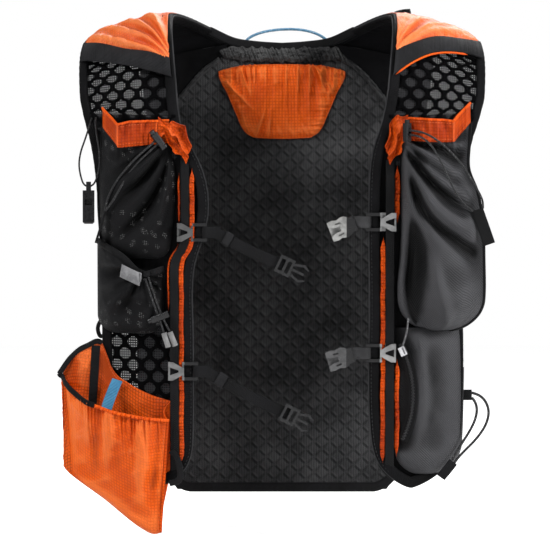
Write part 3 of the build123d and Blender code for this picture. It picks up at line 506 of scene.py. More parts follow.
def twill(name, light, dark, pitch=0.0014, depth=0.0002, gloss=0.15, rough=(0.5, 0.65), clean=None):
    """Closely woven cloth: slanting ribs broken by the cross threads, with a dusty sheen.

    Between two distances from the middle, if they are given, painted shade darkens it towards the middle; its folds
    get painted shade and their crests a painted highlight."""
    light, dark = tones(light, dark)
    f = Finish(name, Sheen_Weight=0.01, Sheen_Roughness=0.5, Specular_IOR_Level=gloss)
    f.place()
    ribs = f.wave(f.plus(f.along, f.across), pitch)
    breaks = f.wave(f.across, pitch * 0.8)
    height = f.plus(ribs, f.times(breaks, 0.5))
    shade = f.mix(f.cloud(30.0, detail=4.0, room=0.18), dark, light)
    shade = f.mix(f.range(height, -1.2, 1.2, 0.0, 0.6), shade, deeper(dark, 0.5))
    if clean:
        # Painted shade: darker towards the body's middle, fading out between the two distances.
        away = f.sum("ABSOLUTE", f.split(f.object)[0])
        shade = f.mix(f.range(away, *clean, 0.8, 0.0), shade, deeper(dark, 0.15))
    # Painted shade in the folds and a painted highlight on their crests.
    shade = f.paint_fold_shade(shade, deeper(dark, 0.12), deeper(light, 2.4), (0.9, 0.6), reach=2.6)
    normal = f.raise_by(f.noise(90.0, 5.0), 0.0009, 0.5)
    normal = f.raise_by(height, depth, 0.7, normal)
    return f.done(shade, f.cloud(70.0, *rough), normal)


def knit(name, light, dark, rib=0.0013, cells=False, gloss=0.08):
    """Spacer knit: fine upright ribs and pinholes, dull; with cells, its slanting seams are darker, as dark joints
    plus painted shade heavier on one slant, beside a painted highlight.
    """
    light, dark = tones(light, dark)
    f = Finish(name, Specular_IOR_Level=gloss)
    f.place()
    ribs = f.wave(f.along, rib)
    loops = f.wave(f.across, rib * 0.75)
    height = f.plus(f.times(ribs, loops), f.times(ribs, 0.6))
    shade = f.mix(f.cloud(24.0, detail=5.0), dark, light)
    shade = f.mix(f.range(height, -1.0, 0.6, 0.62, 0.0), shade, (0.004, 0.004, 0.0045, 1))
    normal = f.raise_by(height, 0.00035, 0.8)
    if cells:
        level, _, upright = f.split(f.object)

        def slant(way, turn=0.0):
            """A cosine across one set of slanting seams between the cells, -1 along each seam."""
            turned = f.sum("MULTIPLY_ADD", level, 2000 * math.pi / CELL_WIDE, turn)
            return f.sum("COSINE", f.sum("MULTIPLY_ADD", upright, way * 2000 * math.pi / CELL_TALL, turned))

        def seam(way, most):
            """The middle part of each seam of one set, fading out where the other set crosses it."""
            line = f.range(slant(way), -1.0, -0.5, most, 0.0)
            return f.times(line, f.range(slant(-way), -1.0, 0.1, 0.15, 1.0))

        # Painted highlight: a light band beside one set of seams, on the side that faces the light.
        lit = f.times(f.range(slant(1, -1.1), -1.0, -0.6, 0.16, 0.0), f.range(slant(-1), -0.5, 0.5))
        shade = f.mix(lit, shade, tone(108, 108, 110))
        # Dark seams between the cells: dark joints plus painted shade, heavier on one slant than the other.
        shade = f.mix(f.sum("MAXIMUM", seam(1, 0.58), seam(-1, 0.36)), shade, tone(6, 6, 7))
        pillow = f.range(f.plus(slant(1), slant(-1)), -1.2, 0.4)
        normal = f.raise_by(pillow, 0.0004, 0.5, normal)
    return f.done(shade, f.cloud(80.0, 0.72, 0.9), normal)


def stretch(name, light, dark):
    """Smooth elastic jersey with small groups of cut holes that let the lining glint through."""
    light, dark = tones(light, dark)
    f = Finish(name, Sheen_Weight=0.02, Sheen_Roughness=0.45, Specular_IOR_Level=0.07)
    f.place()
    fine = f.times(f.wave(f.along, 0.0008), f.wave(f.across, 0.0008))
    shade = f.mix(f.cloud(28.0, detail=4.0), dark, light)
    # Painted shade in the folds and a painted highlight on their crests.
    shade = f.paint_fold_shade(shade, deeper(dark, 0.1), deeper(light, 2.4), (0.95, 0.5))
    normal = f.raise_by(f.noise(70.0, 4.0), 0.0008, 0.45)
    dots = f.node("TexVoronoi", {"Vector": f.spot, "Scale": 620.0, "Randomness": 0.3})
    near = f.node("TexVoronoi", {"Vector": f.spot, "Scale": 92.0, "Randomness": 0.35})
    strips = f.range(f.noise(17.0, 0.0, where=f.spot), 0.47, 0.55)
    groups = f.times(f.range(near, 0.26, 0.32, 1.0, 0.0), strips)
    hole = f.times(f.range(dots, 0.24, 0.36, 1.0, 0.0), groups)
    shade = f.mix(f.times(hole, 0.75), shade, tone(116, 116, 116))
    normal = f.raise_by(hole, -0.0004, 0.8, normal)
    normal = f.raise_by(fine, 0.00012, 0.6, normal)
    return f.done(shade, f.cloud(50.0, 0.5, 0.66), normal)


def tape(name, light, dark, pitch=0.0011, chevron=False, on_cloth=True, gloss=0.2):
    """Woven tape: fine ribs across it, or a herringbone."""
    light, dark = tones(light, dark)
    f = Finish(name, Sheen_Weight=0.02, Sheen_Roughness=0.45, Specular_IOR_Level=gloss)
    f.place(on_cloth)
    way = f.plus(f.across, f.sum("PINGPONG", f.along, 0.0013)) if chevron else f.across
    ribs = f.wave(way, pitch)
    threads = f.wave(f.along, pitch * 0.7)
    height = f.plus(ribs, f.times(threads, 0.4))
    shade = f.mix(f.cloud(45.0, detail=4.0), dark, light)
    shade = f.mix(f.range(height, -1.3, 1.3, 0.35, 0.0), shade, (0.004, 0.004, 0.004, 1))
    normal = f.raise_by(f.noise(120.0, 4.0), 0.0005, 0.5)
    normal = f.raise_by(height, 0.00022, 0.8, normal)
    return f.done(shade, f.cloud(90.0, 0.55, 0.72), normal)


BLACK_EDGE = 0.0004  # half the width over which a moulded part turns black


def moulded(name, light, dark, rough, metal=0.0, on_cloth=False, black=None):
    """Moulded plastic or plated metal: fine spark grain, cloudy gloss, faint scuffs, and edges made lighter as rubbed
    wear and painted highlight.

    It is black where it lies between two distances from the middle, if they are given."""
    light, dark = tones(light, dark)
    f = Finish(name, Metallic=metal, Specular_IOR_Level=0.3)
    f.place(on_cloth)
    scuff = f.node("TexNoise", {"Vector": f.object, "Scale": 260.0, "Detail": 6.0, "Distortion": 1.4})
    scuff = f.range(scuff, 0.58, 0.72)
    edge = f.range(f.node("NewGeometry", {}, out=7), 0.5, 0.62)
    shade = f.mix(f.cloud(120.0), dark, light)
    # Lighter on sharp edges: rubbed wear plus a painted edge highlight.
    shade = f.mix(f.times(edge, 0.35), shade, light)
    shade = f.mix(f.times(scuff, 0.25), shade, light)
    if black:
        away = f.sum("ABSOLUTE", f.along)
        near, far = black
        past = f.range(away, near - BLACK_EDGE, near + BLACK_EDGE)
        within = f.times(past, f.range(away, far - BLACK_EDGE, far + BLACK_EDGE, 1.0, 0.0))
        shade = f.mix(within, shade, tone(13, 13, 15))
    normal = f.raise_by(f.noise(700.0, 2.0), 0.00008, 0.6)
    return f.done(shade, f.cloud(300.0, *rough), normal)


def sheer(name, shade):
    """Fine tulle: threads that cross two millimetres apart, with small open holes between them."""
    pitch, thick = 0.0021, 0.0021 * 0.66
    f = Finish(name, Roughness=0.7, Specular_IOR_Level=0.15)
    f.place()
    lines = f.sum("MAXIMUM", f.lines(f.along, pitch, thick), f.lines(f.across, pitch, thick))
    colour = f.mix(f.noise(60.0), *tones(shade, (48, 48, 50)))
    return f.done(colour, None, f.raise_by(lines, 0.0002), lines)


def cordage(name, light, dark, fleck):
    """Braided cord: crossing strands round it, with a light fleck."""
    light, dark, fleck = tones(light, dark, fleck)
    f = Finish(name, Sheen_Weight=0.04, Sheen_Roughness=0.5, Specular_IOR_Level=0.3)
    f.place(False)
    one = f.plus(f.plus(f.along, f.across), f.high)
    two = f.sum("SUBTRACT", f.sum("SUBTRACT", f.along, f.across), f.high)
    braid = f.times(f.wave(one, 0.0021), f.wave(two, 0.0021))
    shade = f.mix(f.range(braid, -0.8, 0.8), dark, light)
    spots = f.range(f.noise(900.0, 1.0), 0.62, 0.68)
    shade = f.mix(f.times(spots, 0.6), shade, fleck)
    return f.done(shade, f.cloud(200.0, 0.45, 0.6), f.raise_by(braid, 0.0003, 0.8))


BLACK, COAL, INK = (20, 20, 22), (12, 12, 13), (8, 8, 9)
ORANGE, RUST, FLAME = (242, 100, 12), (218, 80, 6), (168, 50, 4)
CELL_WIDE, CELL_TALL = 14.6, 14.1  # width and height of the knit's diamond cells in millimetres
MESH_WIDE, MESH_TALL = 14.6, 10.0  # spacing of the net's holes, every other row moved half a hole
HOLE_SHARP, HOLE_ROUND = 0.3, 3.0  # a hole's part of its cell's outline, and the radius of the circle added to it

orange_cloth = ripstop("orange_ripstop", ORANGE, RUST, FLAME, gloss=0.16, show=0.4)
# A lighter copy of the orange for the shoulder patches: painted light standing in for their highlights.
lit_shoulder_orange = ripstop("lit_shoulder_ripstop", (244, 112, 34), (222, 86, 14), (190, 66, 10), gloss=0.6)
# A darker copy of the orange for the cuffs, gathers, trims and welt: painted shade.
shaded_orange = ripstop("shaded_gathered_ripstop", (222, 84, 6), (164, 50, 3), (120, 34, 3), gloss=0.12)
orange_inside = ripstop("orange_ripstop_reverse", (236, 98, 18), (206, 74, 8), (120, 38, 4), gloss=0.15, show=0.6)
black_cloth = ripstop("black_ripstop", BLACK, INK, (40, 40, 43), pitch=0.005, gloss=0.2)
# The pockets' twill gets painted shade towards the body's middle, from 112 to 156 mm out.
pocket_twill = twill("bottle_twill", (54, 54, 56), (25, 25, 27), pitch=0.0024, depth=0.0003, gloss=0.09,
                     rough=(0.36, 0.5), clean=(0.112, 0.156))
lining = twill("soft_lining", (12, 12, 14), (6, 6, 7), pitch=0.0009, depth=0.0001, gloss=0.04)
back_knit = knit("back_spacer_knit", (78, 78, 79), (49, 49, 50), rib=0.0023, cells=True)
panel_knit = knit("panel_knit", BLACK, COAL)
nape_knit = knit("nape_knit", (108, 108, 108), (56, 56, 57), rib=0.0016)
net_knit = knit("net_knit", (9, 9, 10), (4, 4, 5), rib=0.0009, gloss=0.03)
jersey = stretch("stretch_jersey", (13, 13, 14), (5, 5, 6))
edge_tape = tape("edge_tape", (22, 22, 24), (11, 11, 12), gloss=0.1)
piping = tape("edge_piping", (58, 58, 60), (34, 34, 36), gloss=0.2)
elastic = tape("shoulder_elastic", (44, 44, 46), (26, 26, 28), pitch=0.0014, gloss=0.1)
webbing = tape("webbing", (22, 22, 24), (11, 11, 12), pitch=0.0017, chevron=True, gloss=0.1)
padding = twill("edge_padding", (22, 22, 24), (12, 12, 13), pitch=0.0022, depth=0.0002, gloss=0.05)
tulle = sheer("tulle", (26, 26, 28))
blue_tape = tape("blue_tape", (82, 150, 190), (52, 112, 150), pitch=0.0013)
glint = moulded("reflective_print", (132, 132, 134), (92, 92, 94), rough=(0.25, 0.35), on_cloth=True)
thread_black = tape("black_thread", (52, 52, 54), (28, 28, 30), pitch=0.0006, on_cloth=False)
thread_orange = tape("orange_thread", (255, 140, 84), (232, 100, 40), pitch=0.0006, on_cloth=False)
plastic_black = moulded("black_acetal", (24, 24, 26), (12, 12, 13), rough=(0.2, 0.34))
# A lighter copy of the webbing: painted light standing in for the highlights on the wearer's left straps.
lit_strap_web = tape("strap_webbing", (72, 72, 74), (34, 34, 36), pitch=0.0017, chevron=True, gloss=0.3)
plastic_grey = moulded("grey_acetal", (136, 136, 136), (92, 92, 92), rough=(0.34, 0.46))
# Lit copies of the black buckles' acetal for the wearer's left buckles: painted highlight, pale for the upper one and
# dimmer for the lower.
pale_lit_plastic = moulded("pale_lit_acetal", (160, 160, 158), (92, 92, 91), rough=(0.26, 0.4), black=(0.056, 1.0))
dim_lit_plastic = moulded("dim_lit_acetal", (80, 80, 81), (44, 44, 45), rough=(0.2, 0.32), black=(0.056, 1.0))
plated = moulded("plated_metal", (190, 190, 192), (120, 120, 124), rough=(0.22, 0.35), metal=0.9)
coil_black = moulded("zip_coil", (48, 48, 50), (24, 24, 26), rough=(0.3, 0.42))
film = moulded("reservoir_film", (150, 185, 205), (110, 150, 175), rough=(0.15, 0.25))
cord_black = cordage("black_cord", (34, 34, 36), (15, 15, 17), (120, 120, 120))
cord_blue = cordage("blue_cord", (120, 170, 200), (60, 112, 150), (220, 235, 245))
cord_grey = cordage("grey_cord", (120, 120, 122), (62, 62, 65), (190, 190, 190))

SLOT_OF = {finish.name: slot for slot, finishes in {
    "black_mesh": (back_knit, panel_knit, nape_knit, net_knit, lining, padding, piping, tulle, edge_tape,
                   thread_black),
    "orange_ripstop": (orange_cloth, lit_shoulder_orange, shaded_orange, orange_inside, thread_orange),
    "black_stretch": (pocket_twill, jersey, elastic), "black_ripstop": (black_cloth,), "webbing": (webbing, lit_strap_web),
    "cord_blue": (blue_tape, cord_blue), "cord_black": (cord_black,), "cord_grey": (cord_grey,),
    "zip_metal": (glint,), "zip": (coil_black,), "buckle_black": (plastic_black,),
}.items() for finish in finishes}


# Room, camera, lamps ------------------------------------------------------------------------------


FLOOR_GLOW, WORLD_GREY = 0.86, 0.14  # the floor's own light, and how bright the world is to the object
CAMERA_RAY, GLOSSY_RAY, THROUGH_RAY = 0, 3, 6  # outputs of the light path node


def lamp(name, place, aim, wide, power):
    """A soft square lamp that faces a point."""
    data = bpy.data.lights.new(name, "AREA")
    data.size, data.energy = wide, power
    made = bpy.data.objects.new(name, data)
    made.location = place
    away = np.array(aim, float) - np.array(place, float)
    made.rotation_euler = (math.acos(-away[2] / np.linalg.norm(away)), 0, math.atan2(away[0], -away[1]) + math.pi)
    bpy.context.scene.collection.objects.link(made)


def white_room():
    """A floor that the camera sees as white but for the shadow, and a world that is white where it is looked at."""
    f = Finish("floor_white", Roughness=0.9)
    seen, glare = (f.node("LightPath", {}, out=k) for k in (CAMERA_RAY, GLOSSY_RAY))
    shown = f.sum("MAXIMUM", seen, glare)
    f.give(f.shader, "Base Color", (0.8, 0.8, 0.8, 1))
    f.give(f.shader, "Emission Color", (1, 1, 1, 1))
    f.give(f.shader, "Emission Strength", f.times(shown, FLOOR_GLOW))
    bpy.ops.mesh.primitive_plane_add(size=16, location=(0, 0, cad_box[0][2] - 0.006))
    floor = bpy.context.object
    floor.name = "floor"
    floor.data.materials.append(f.material)
    world = bpy.data.worlds.new("room")
    bpy.context.scene.world = world
    world.use_nodes = True
    tree = world.node_tree
    path = tree.nodes.new("ShaderNodeLightPath")
    shown = tree.nodes.new("ShaderNodeMath")
    shown.operation = "MAXIMUM"
    tree.links.new(path.outputs[CAMERA_RAY], shown.inputs[0])
    tree.links.new(path.outputs[THROUGH_RAY], shown.inputs[1])
    blend = tree.nodes.new("ShaderNodeMix")
    blend.data_type = "RGBA"
    tree.links.new(shown.outputs[0], blend.inputs[0])
    blend.inputs[6].default_value = (WORLD_GREY, WORLD_GREY, WORLD_GREY, 1)
    blend.inputs[7].default_value = (1, 1, 1, 1)
    tree.links.new(blend.outputs[2], tree.nodes["Background"].inputs[0])


camera = bpy.data.objects.new("camera", bpy.data.cameras.new("camera"))
camera.data.lens, camera.data.sensor_width = 218.0, 36.0
camera.location = (-0.0064, -3.06, -0.0092)
camera.rotation_euler = (math.pi / 2, 0, 0)
bpy.context.scene.collection.objects.link(camera)
bpy.context.scene.camera = camera
bpy.context.scene.view_settings.view_transform = "Standard"
white_room()
lamp("key", (-1.9, -1.8, 2.2), (0, -0.05, 0), 1.0, 86)
lamp("fill", (2.3, -1.4, 1.2), (0, -0.05, 0), 1.2, 86)
lamp("back", (0.6, 2.2, 1.9), (0, 0.05, 0), 1.6, 46)


# Cords --------------------------------------------------------------------------------------------

# Each free cord's points: in its front panel's frame if the cord is made with a side, in the object's if not.
ROUTES = {
    "hang_loop": [(-36, 13, 196.4), (-35.5, 13, 204), (-30, 13.5, 210.5), (-17, 14, 215.5),
        (0, 14.5, 217.8), (17, 14.5, 217.6), (31, 14, 214.3), (41, 13.5, 208.5), (44.6, 13, 202.5),
        (45, 13, 196.4)],
    "whistle_cord": [(-167.6, -130.8, 128.6), (-168.2, -135.6, 126.2), (-170, -138.6, 119),
        (-173.2, -139, 109), (-176.9, -139, 99), (-178.6, -139, 88), (-177, -139, 77.5),
        (-173.8, -139, 68.6), (-166.0, -139, 68.6), (-162, -139, 77.5), (-160, -139, 89),
        (-160.6, -139, 101), (-162.4, -138.9, 111), (-163.6, -138.5, 119.2), (-164.1, -137, 125.5),
        (-163.9, -132.6, 129.1)],
    "left_drawcord_outer": [(105.3, -17.2, -12.2), (116.6, -28.5, -12.2), (127.3, -33, -16),
        (138, -34.5, -23.5), (148.5, -33.5, -33.5), (157.5, -30, -44.5), (165, -26, -57),
        (171.5, -23, -68), (174.2, -21.7, -75), (173.9, -21.5, -80.0)],
    "left_drawcord_inner": [(105.3, -17.2, -15.8), (116.6, -28.5, -15.8), (126, -32, -21.5),
        (133, -33.8, -31.5), (139, -34, -43.5), (145, -32.8, -56.5), (151.5, -30, -69),
        (158.5, -25.5, -77.5), (165.4, -21.5, -82.7)],
    "right_drawcord_outer": [(105.8, -5.9, -18.1), (116.7, -10.5, -27.4), (126, -11.2, -35.5),
        (135, -9.8, -45), (143.5, -6, -55.5), (150.3, -1, -67), (154, 2.8, -77), (155, 4.4, -84.6)],
    "right_drawcord_inner": [(103.8, -5.1, -20.9), (114.7, -9.7, -30.2), (124.5, -11.2, -39.5),
        (134, -10, -51), (141.5, -7.3, -63.5), (147, -4, -73.5), (152, -1, -80), (154.8, 0.2, -84.6)],
    "stash_cord_outer": [(119.7, -7.4, -142), (114.5, -9.8, -157.4), (110.2, -10.8, -169.8),
        (106.2, -10.8, -180.6), (103.4, -10.8, -189.3)],
    "stash_cord_inner": [(117.0, -7.0, -141), (111.9, -9.8, -156.4), (107.4, -10.8, -168.6),
        (103, -10.8, -179.4), (98.3, -10.8, -188.2)],
    "side_cord_inner": [(167.8, 23.6, -250.8), (170.6, 23.4, -253.6), (172.6, 21.5, -261),
        (170.6, 18.5, -270), (165.5, 14.5, -279.5), (159, 9.5, -288.5), (153.2, 3.5, -297),
        (149.4, -1.3, -302.4)],
    "side_cord_outer": [(166.9, 23.6, -246.2), (173.5, 23.9, -247.6), (180, 23, -253.5),
        (183, 21.5, -262), (181.5, 19, -271), (176.5, 16, -280), (169, 12, -288.5), (161, 7.5, -295.5),
        (154.5, 2.5, -301.5), (151.2, -1.3, -305.4)],
    "pocket_zip_cord": [(105.4, -5.6, -201.2), (106.6, -10, -196.6), (107.9, -16, -190.8),
        (108.8, -22, -184), (109.2, -27, -175.5)],
}


def cord(node, diameter, finish, body, side=None):
    """A free cord: a smooth spline of the route's points, drawn as a round tube."""
    points = np.array(ROUTES[node], float)
    if side:
        points = front(*points.T, side)
    curve = bpy.data.curves.new(node + "_line", "CURVE")
    curve.dimensions = "3D"
    spline = curve.splines.new("NURBS")
    spline.points.add(len(points) - 1)
    spline.points.foreach_set("co", np.column_stack([points * 0.001, np.ones(len(points))]).ravel())
    spline.order_u = 3
    spline.use_endpoint_u = True
    curve.bevel_depth, curve.bevel_resolution, curve.resolution_u = diameter * 0.0005, 4, 10
    curve.use_fill_caps = True
    curve.materials.append(finish)
    made = bpy.data.objects.new(node + "_line", curve)
    bpy.context.scene.collection.objects.link(made)
    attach(made, body)
    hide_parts(node)


cord("hang_loop", 2.5, cord_blue, "pack")
cord("whistle_cord", 1.6, cord_black, "right_front")
STASH_FITTINGS = ["stash_lock", "stash_lock_button", "stash_cord_clamps"]
for side, node, length, diameter, held in (
        ("left", "left_drawcord_outer", 110.8, 1.8, ["left_lock", "left_lock_button"]),
        ("left", "left_drawcord_inner", 102.7, 1.8, []),
        ("right", "right_drawcord_outer", 87.8, 1.8, ["right_lock", "right_lock_button"]),
        ("right", "right_drawcord_inner", 84.4, 1.8, []),
        ("right", "stash_cord_outer", 50.2, 1.8, STASH_FITTINGS), ("right", "stash_cord_inner", 51.0, 1.8, []),
        ("left", "side_cord_outer", 84.4, 2.4, []), ("left", "side_cord_inner", 65.0, 2.4, [])):
    cord(node, diameter, cord_black, f"{side}_front", side)
cord("pocket_zip_cord", 1.6, cord_grey, "pocket_zip_slider", "left")


# Back panel and nape ------------------------------------------------------------------------------

BACK_BASE = -206  # height of the back panel's base
NAPE_BASE, NAPE_TALL = 117, 66  # height of the nape patch's base, and how tall it is


def cell(x, z):
    """1 at the middle of each rounded diamond cell of the knit and about -1 on the slanting seams between them."""
    one = np.cos(2 * np.pi * (x / CELL_WIDE + z / CELL_TALL))
    two = np.cos(2 * np.pi * (x / CELL_WIDE - z / CELL_TALL))
    return 0.5 * np.minimum(one, two) + 0.25 * (one + two)


def back_half(z):
    """Half width of the back panel at a height."""
    return through(z, [-206, -190, -150, -85, -20, 50, 120, 186, 203],
                   [96, 108, 124, 129, 129.5, 128, 124, 112.5, 112])


def back_top(x):
    """Height of the back panel's top edge at a place across it."""
    return through(np.abs(x), [0, 22, 45, 60, 112], [198, 199.5, 203, 202, 186])


def back_grid():
    """The back panel's front: upright columns between its base and its top edge, narrowed to its sides."""
    a, t = parts(181, 251, -1)
    z = BACK_BASE + t * (back_top(a * 112) - BACK_BASE)
    x = a * back_half(z)
    rim = np.minimum(np.minimum(t, 1 - t) * 400, (1 - np.abs(a)) * 120)  # about the distance from the edge
    pillow = smooth(cell(x, z), -0.7, 0.5) * smooth(rim, 4, 11)
    wave = 0.5 * ripple(x * 0.013 + z * 0.004, 3)
    return np.stack([x, 1.0 - 0.7 * pillow + 0.9 * wave * smooth(rim, 4, 30), z], -1)


back = back_grid()
sheet_piece("back_knit", back, 4.8, back_knit, stands_for="back_panel")

ring = np.concatenate([back[::-5, 0], back[0, ::5], back[::5, -1]])
ring[:, 1] = 3.2
ring = averaged(ring, 3)
out = unit(turning(ring))
band("back_binding", ring + 2.0 * out, out, (9.0, 7.4), edge_tape)


def nape_edge(t, a):
    """Half width and height of the nape patch: cut upper corners, leaning sides, rounded lower corners."""
    half = through(t, [0, 0.05, 0.14, 0.3, 0.6, 0.885, 0.93, 1.0], [26, 32, 36.8, 41.6, 50.0, 58.2, 57.0, 38.0])
    z = NAPE_BASE + t * NAPE_TALL
    bow = 1.5 * (1 - a**2) * smooth(t, 0.7, 1.0) - 1.2 * (1 - a**2) * (1 - smooth(t, 0.0, 0.2))
    return a * half, z + bow


def nape_grid():
    """The nape patch: puffed cloth gathered along its edges, the gathers dying away inwards."""
    a, t = parts(161, 141, -1)
    x, z = nape_edge(t, a)
    from_top, from_base, from_side = (1 - t) * NAPE_TALL, t * NAPE_TALL, (1 - np.abs(a)) * 50
    gather = ripple(x / 7.5, 11, 0.5, 2.2) * np.exp(-from_top / 20) * 2.5
    gather = gather + ripple(x / 9 + 0.05 * z, 12, 0.5, 2.0) * np.exp(-from_base / 9) * 1.1
    gather = gather + ripple(z / 8 + np.sign(a) * 3, 13, 0.5, 2.0) * np.exp(-from_side / 9) * 1.2
    pull = np.zeros_like(x * t)
    for px, pz, lean, size in ((-37, 178, 0.35, 1.5), (-30, 180, 0.1, 1.2), (31, 180, 0.42, 1.9), (-44, 160, 0.8, 1.3),
                               (-22, 122, -0.3, 1.3), (40, 168, 0.6, 1.0), (-12, 120, -0.1, 0.9)):
        near = (x - px) * math.cos(lean) + (z - pz) * math.sin(lean)
        along = (z - pz) * math.cos(lean) - (x - px) * math.sin(lean)
        pull = pull + 2.5 * size * dome(near, 0, 1.7) * dome(along, 0, 19)
    rim = smooth(np.minimum(np.minimum(from_top, from_base), from_side), 0, 7)
    puff = (2.6 + creased(x, z, 16, 21, 1.6)) * rim
    y = -0.9 - puff - (gather + pull) * (0.35 + 0.65 * rim)
    return np.stack([x, y, z + 0 * x], -1)


nape = nape_grid()
sheet_piece("nape_cloth", nape, 0.7, orange_cloth, stands_for="nape_patch")
edge_rows = [nape[-2], nape[:, 1][::-1], nape[1], nape[:, -2]]
stitches("nape_thread", [(row + [0, -0.35, 0], FRONTWARD) for row in edge_rows], thread_orange, **FINE_THREAD)

u, t = parts(201, 33)
x = -57 + 117 * u
middle = 193.0 + 2.4 * ((x - 1) / 56) ** 2 + 0.9 * ripple(x / 25, 5) - 9.0 * smooth(x, 48, 62)
half = (6.6 + 0.9 * ripple(x / 13, 8)) * np.sqrt(np.clip(1 - np.abs(2 * u - 1) ** 7, 0.02, 1))
z = middle + half * (2 * t - 1)
lumps = 2.0 * crumple(x, z * 1.6, 5.5, 31) + 1.6 * crumple(x, z * 2.2, 13, 33)
lumps = lumps + 0.6 * ripple(x / 3.1 + z / 7, 35, 0.7, 2)
y = -0.4 - 3.4 * np.sqrt(np.clip(1 - (2 * t - 1) ** 2, 0, 1)) * (0.35 + 0.65 * lumps)
sheet_piece("nape_roll", np.stack([x + 0 * t, y, z], -1), 1.2, nape_knit)


# Shoulders ----------------------------------------------------------------------------------------

# Each front panel's inner and outer edge: heights in the panels' frame, and the half widths there.
EDGES = {
    "left": dict(inner=([-326, -321, -314, -303, -286, -160, -60, -33, -14, 0],
                        [108, 97, 89, 83, 79.6, 78, 77.5, 79.5, 86, 92]),
                 outer=([-326, -321, -312, -298, -262, -160, -62, -25, 0],
                        [118, 132, 143.5, 152.5, 157, 157.5, 158, 165, 172])),
    "right": dict(inner=([-324, -316, -304, -285, -200, -126, -98, -64, -38, -18, 0],
                         [100, 87, 81.5, 80, 79.5, 78, 67.5, 66.5, 75, 88, 95]),
                  outer=([-324, -311, -294, -270, -150, -62, -25, 0],
                         [115, 138, 149.5, 153.5, 158, 162, 167, 174])),
}


def edge_x(side, which, w):
    """Half width of a panel's inner or outer edge at a height."""
    return through(w, *EDGES[side][which])


# The yoke's stations, from the back panel to the front one: its point at the neck, at the arm, and the way outwards.
low_in, low_out = front(92, wrap(92.0) + 2, 0.4), front(175, wrap(175.0) + 2, 0.4)
STATIONS = np.array([
    (45, 3, 203.3, 112, 3, 186.3, 0, 1, 0),
    (66, -5, 214, 136, -9, 197, 0, 0.85, 0.52),
    (86, -30, 222, 157, -33, 206, 0.1, 0.5, 0.86),
    (98, -62, 223, 170, -60, 203, 0.27, 0, 0.96),
    (100, -100, 215, 176, -87, 192, 0.27, -0.42, 0.87),
    (98, -133, 190, 177, -109, 170, 0.33, -0.78, 0.53),
    (*low_in, *low_out, 0.38, -0.92, 0),
])


def yoke(s, t, lift, side, crown=None):
    """A point on the yoke: s counts stations from the back panel, t goes from neck to arm, lift is off the middle."""
    s, t, lift = np.broadcast_arrays(np.asarray(s, float), t, lift)
    line = through(s, np.arange(len(STATIONS)), STATIONS)
    out = unit(line[..., 6:])
    crown = 2.5 + 3.0 * smooth(s, 4.8, 6.0) if crown is None else crown
    rise = crown * 4 * t * (1 - t) + lift
    point = line[..., :3] * (1 - t)[..., None] + line[..., 3:6] * t[..., None] + out * rise[..., None]
    return point * [SIGN[side], 1, 1]


def swing_cover(made):
    """Cloth that crosses from the yoke to the swinging panel, its place baked into its mesh."""
    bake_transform(made)


def net_cells(place, across, down):
    """A knitted net: six-sided cells in staggered rows, each a ring of faces between its outline and a rounded hole.

    place turns flat coordinates in millimetres into points; the outline is the edge of the nearest-centre cell."""
    high = MESH_TALL / 2 + MESH_WIDE**2 / (8 * MESH_TALL)
    low = MESH_TALL - high
    half = MESH_WIDE / 2
    corner = np.array([(0, high), (half, low), (half, -low), (0, -high), (-half, -low), (-half, low)])
    outline = np.stack([corner, (corner + np.roll(corner, -1, 0)) / 2], 1).reshape(-1, 2)
    hole = HOLE_SHARP * outline + HOLE_ROUND * outline / np.linalg.norm(outline, axis=1, keepdims=True)
    rows = np.arange(math.ceil(down[0] / MESH_TALL) - 1, math.floor(down[1] / MESH_TALL) + 2)
    columns = np.arange(math.ceil(across[0] / MESH_WIDE) - 1, math.floor(across[1] / MESH_WIDE) + 2)
    j, i = np.meshgrid(rows, columns, indexing="ij")
    centre = np.stack([(i + 0.5 * (j % 2)) * MESH_WIDE, j * MESH_TALL], -1).reshape(-1, 2)
    spots = (centre[:, None] + np.concatenate([outline, hole])[None]).reshape(-1, 2)
    spots = np.clip(spots, (across[0], down[0]), (across[1], down[1]))
    k = np.arange(12)
    ring = np.stack([k, 12 + k, 12 + (k + 1) % 12, (k + 1) % 12], -1)
    faces = (np.arange(len(centre))[:, None, None] * 24 + ring).reshape(-1, 4)
    spots, index = np.unique(np.round(spots, 2), axis=0, return_inverse=True)
    faces = index.reshape(-1)[faces]
    p = spots[faces]
    area = 0.5 * np.abs(np.cross(p[:, 2] - p[:, 0], p[:, 3] - p[:, 1]))
    faces = faces[area > 0.05]
    return place(spots[:, 0], spots[:, 1]), faces, spots * 0.001


def net_piece(name, place, across, down, thick, body):
    """A net with its thickness, facing outwards."""
    points, faces, flat = net_cells(place, across, down)
    p = points[faces]
    facing = np.cross(p[:, 1] - p[:, 0], p[:, 2] - p[:, 0]).sum(0)
    if facing[1] > 0:
        faces = faces[:, ::-1]
    clean = []
    for face in faces.tolist():
        kept = [v for k, v in enumerate(face) if v != face[k - 1]]
        if len(kept) > 2:
            clean.append(kept)
    made = piece(name, points, clean, flat, net_knit, body)
    wall = made.modifiers.new("thickness", "SOLIDIFY")
    wall.thickness, wall.offset = thick * 0.001, -1
    return made


# The shoulder elastic's upper and lower edge: parts of the yoke's width, and the stations there.
BAND_EDGES = {
    "left": (([0, 0.2, 0.47, 0.75, 1], [5.1, 4.83, 4.4, 4.12, 3.8]),
             ([0, 0.2, 0.48, 0.77, 1], [5.47, 5.22, 4.91, 4.7, 4.62])),
    "right": (([0, 0.17, 0.52, 0.85, 1], [5.22, 5.08, 4.77, 4.17, 3.9]),
              ([0, 0.35, 0.69, 1], [5.5, 5.3, 5.05, 4.72])),
}
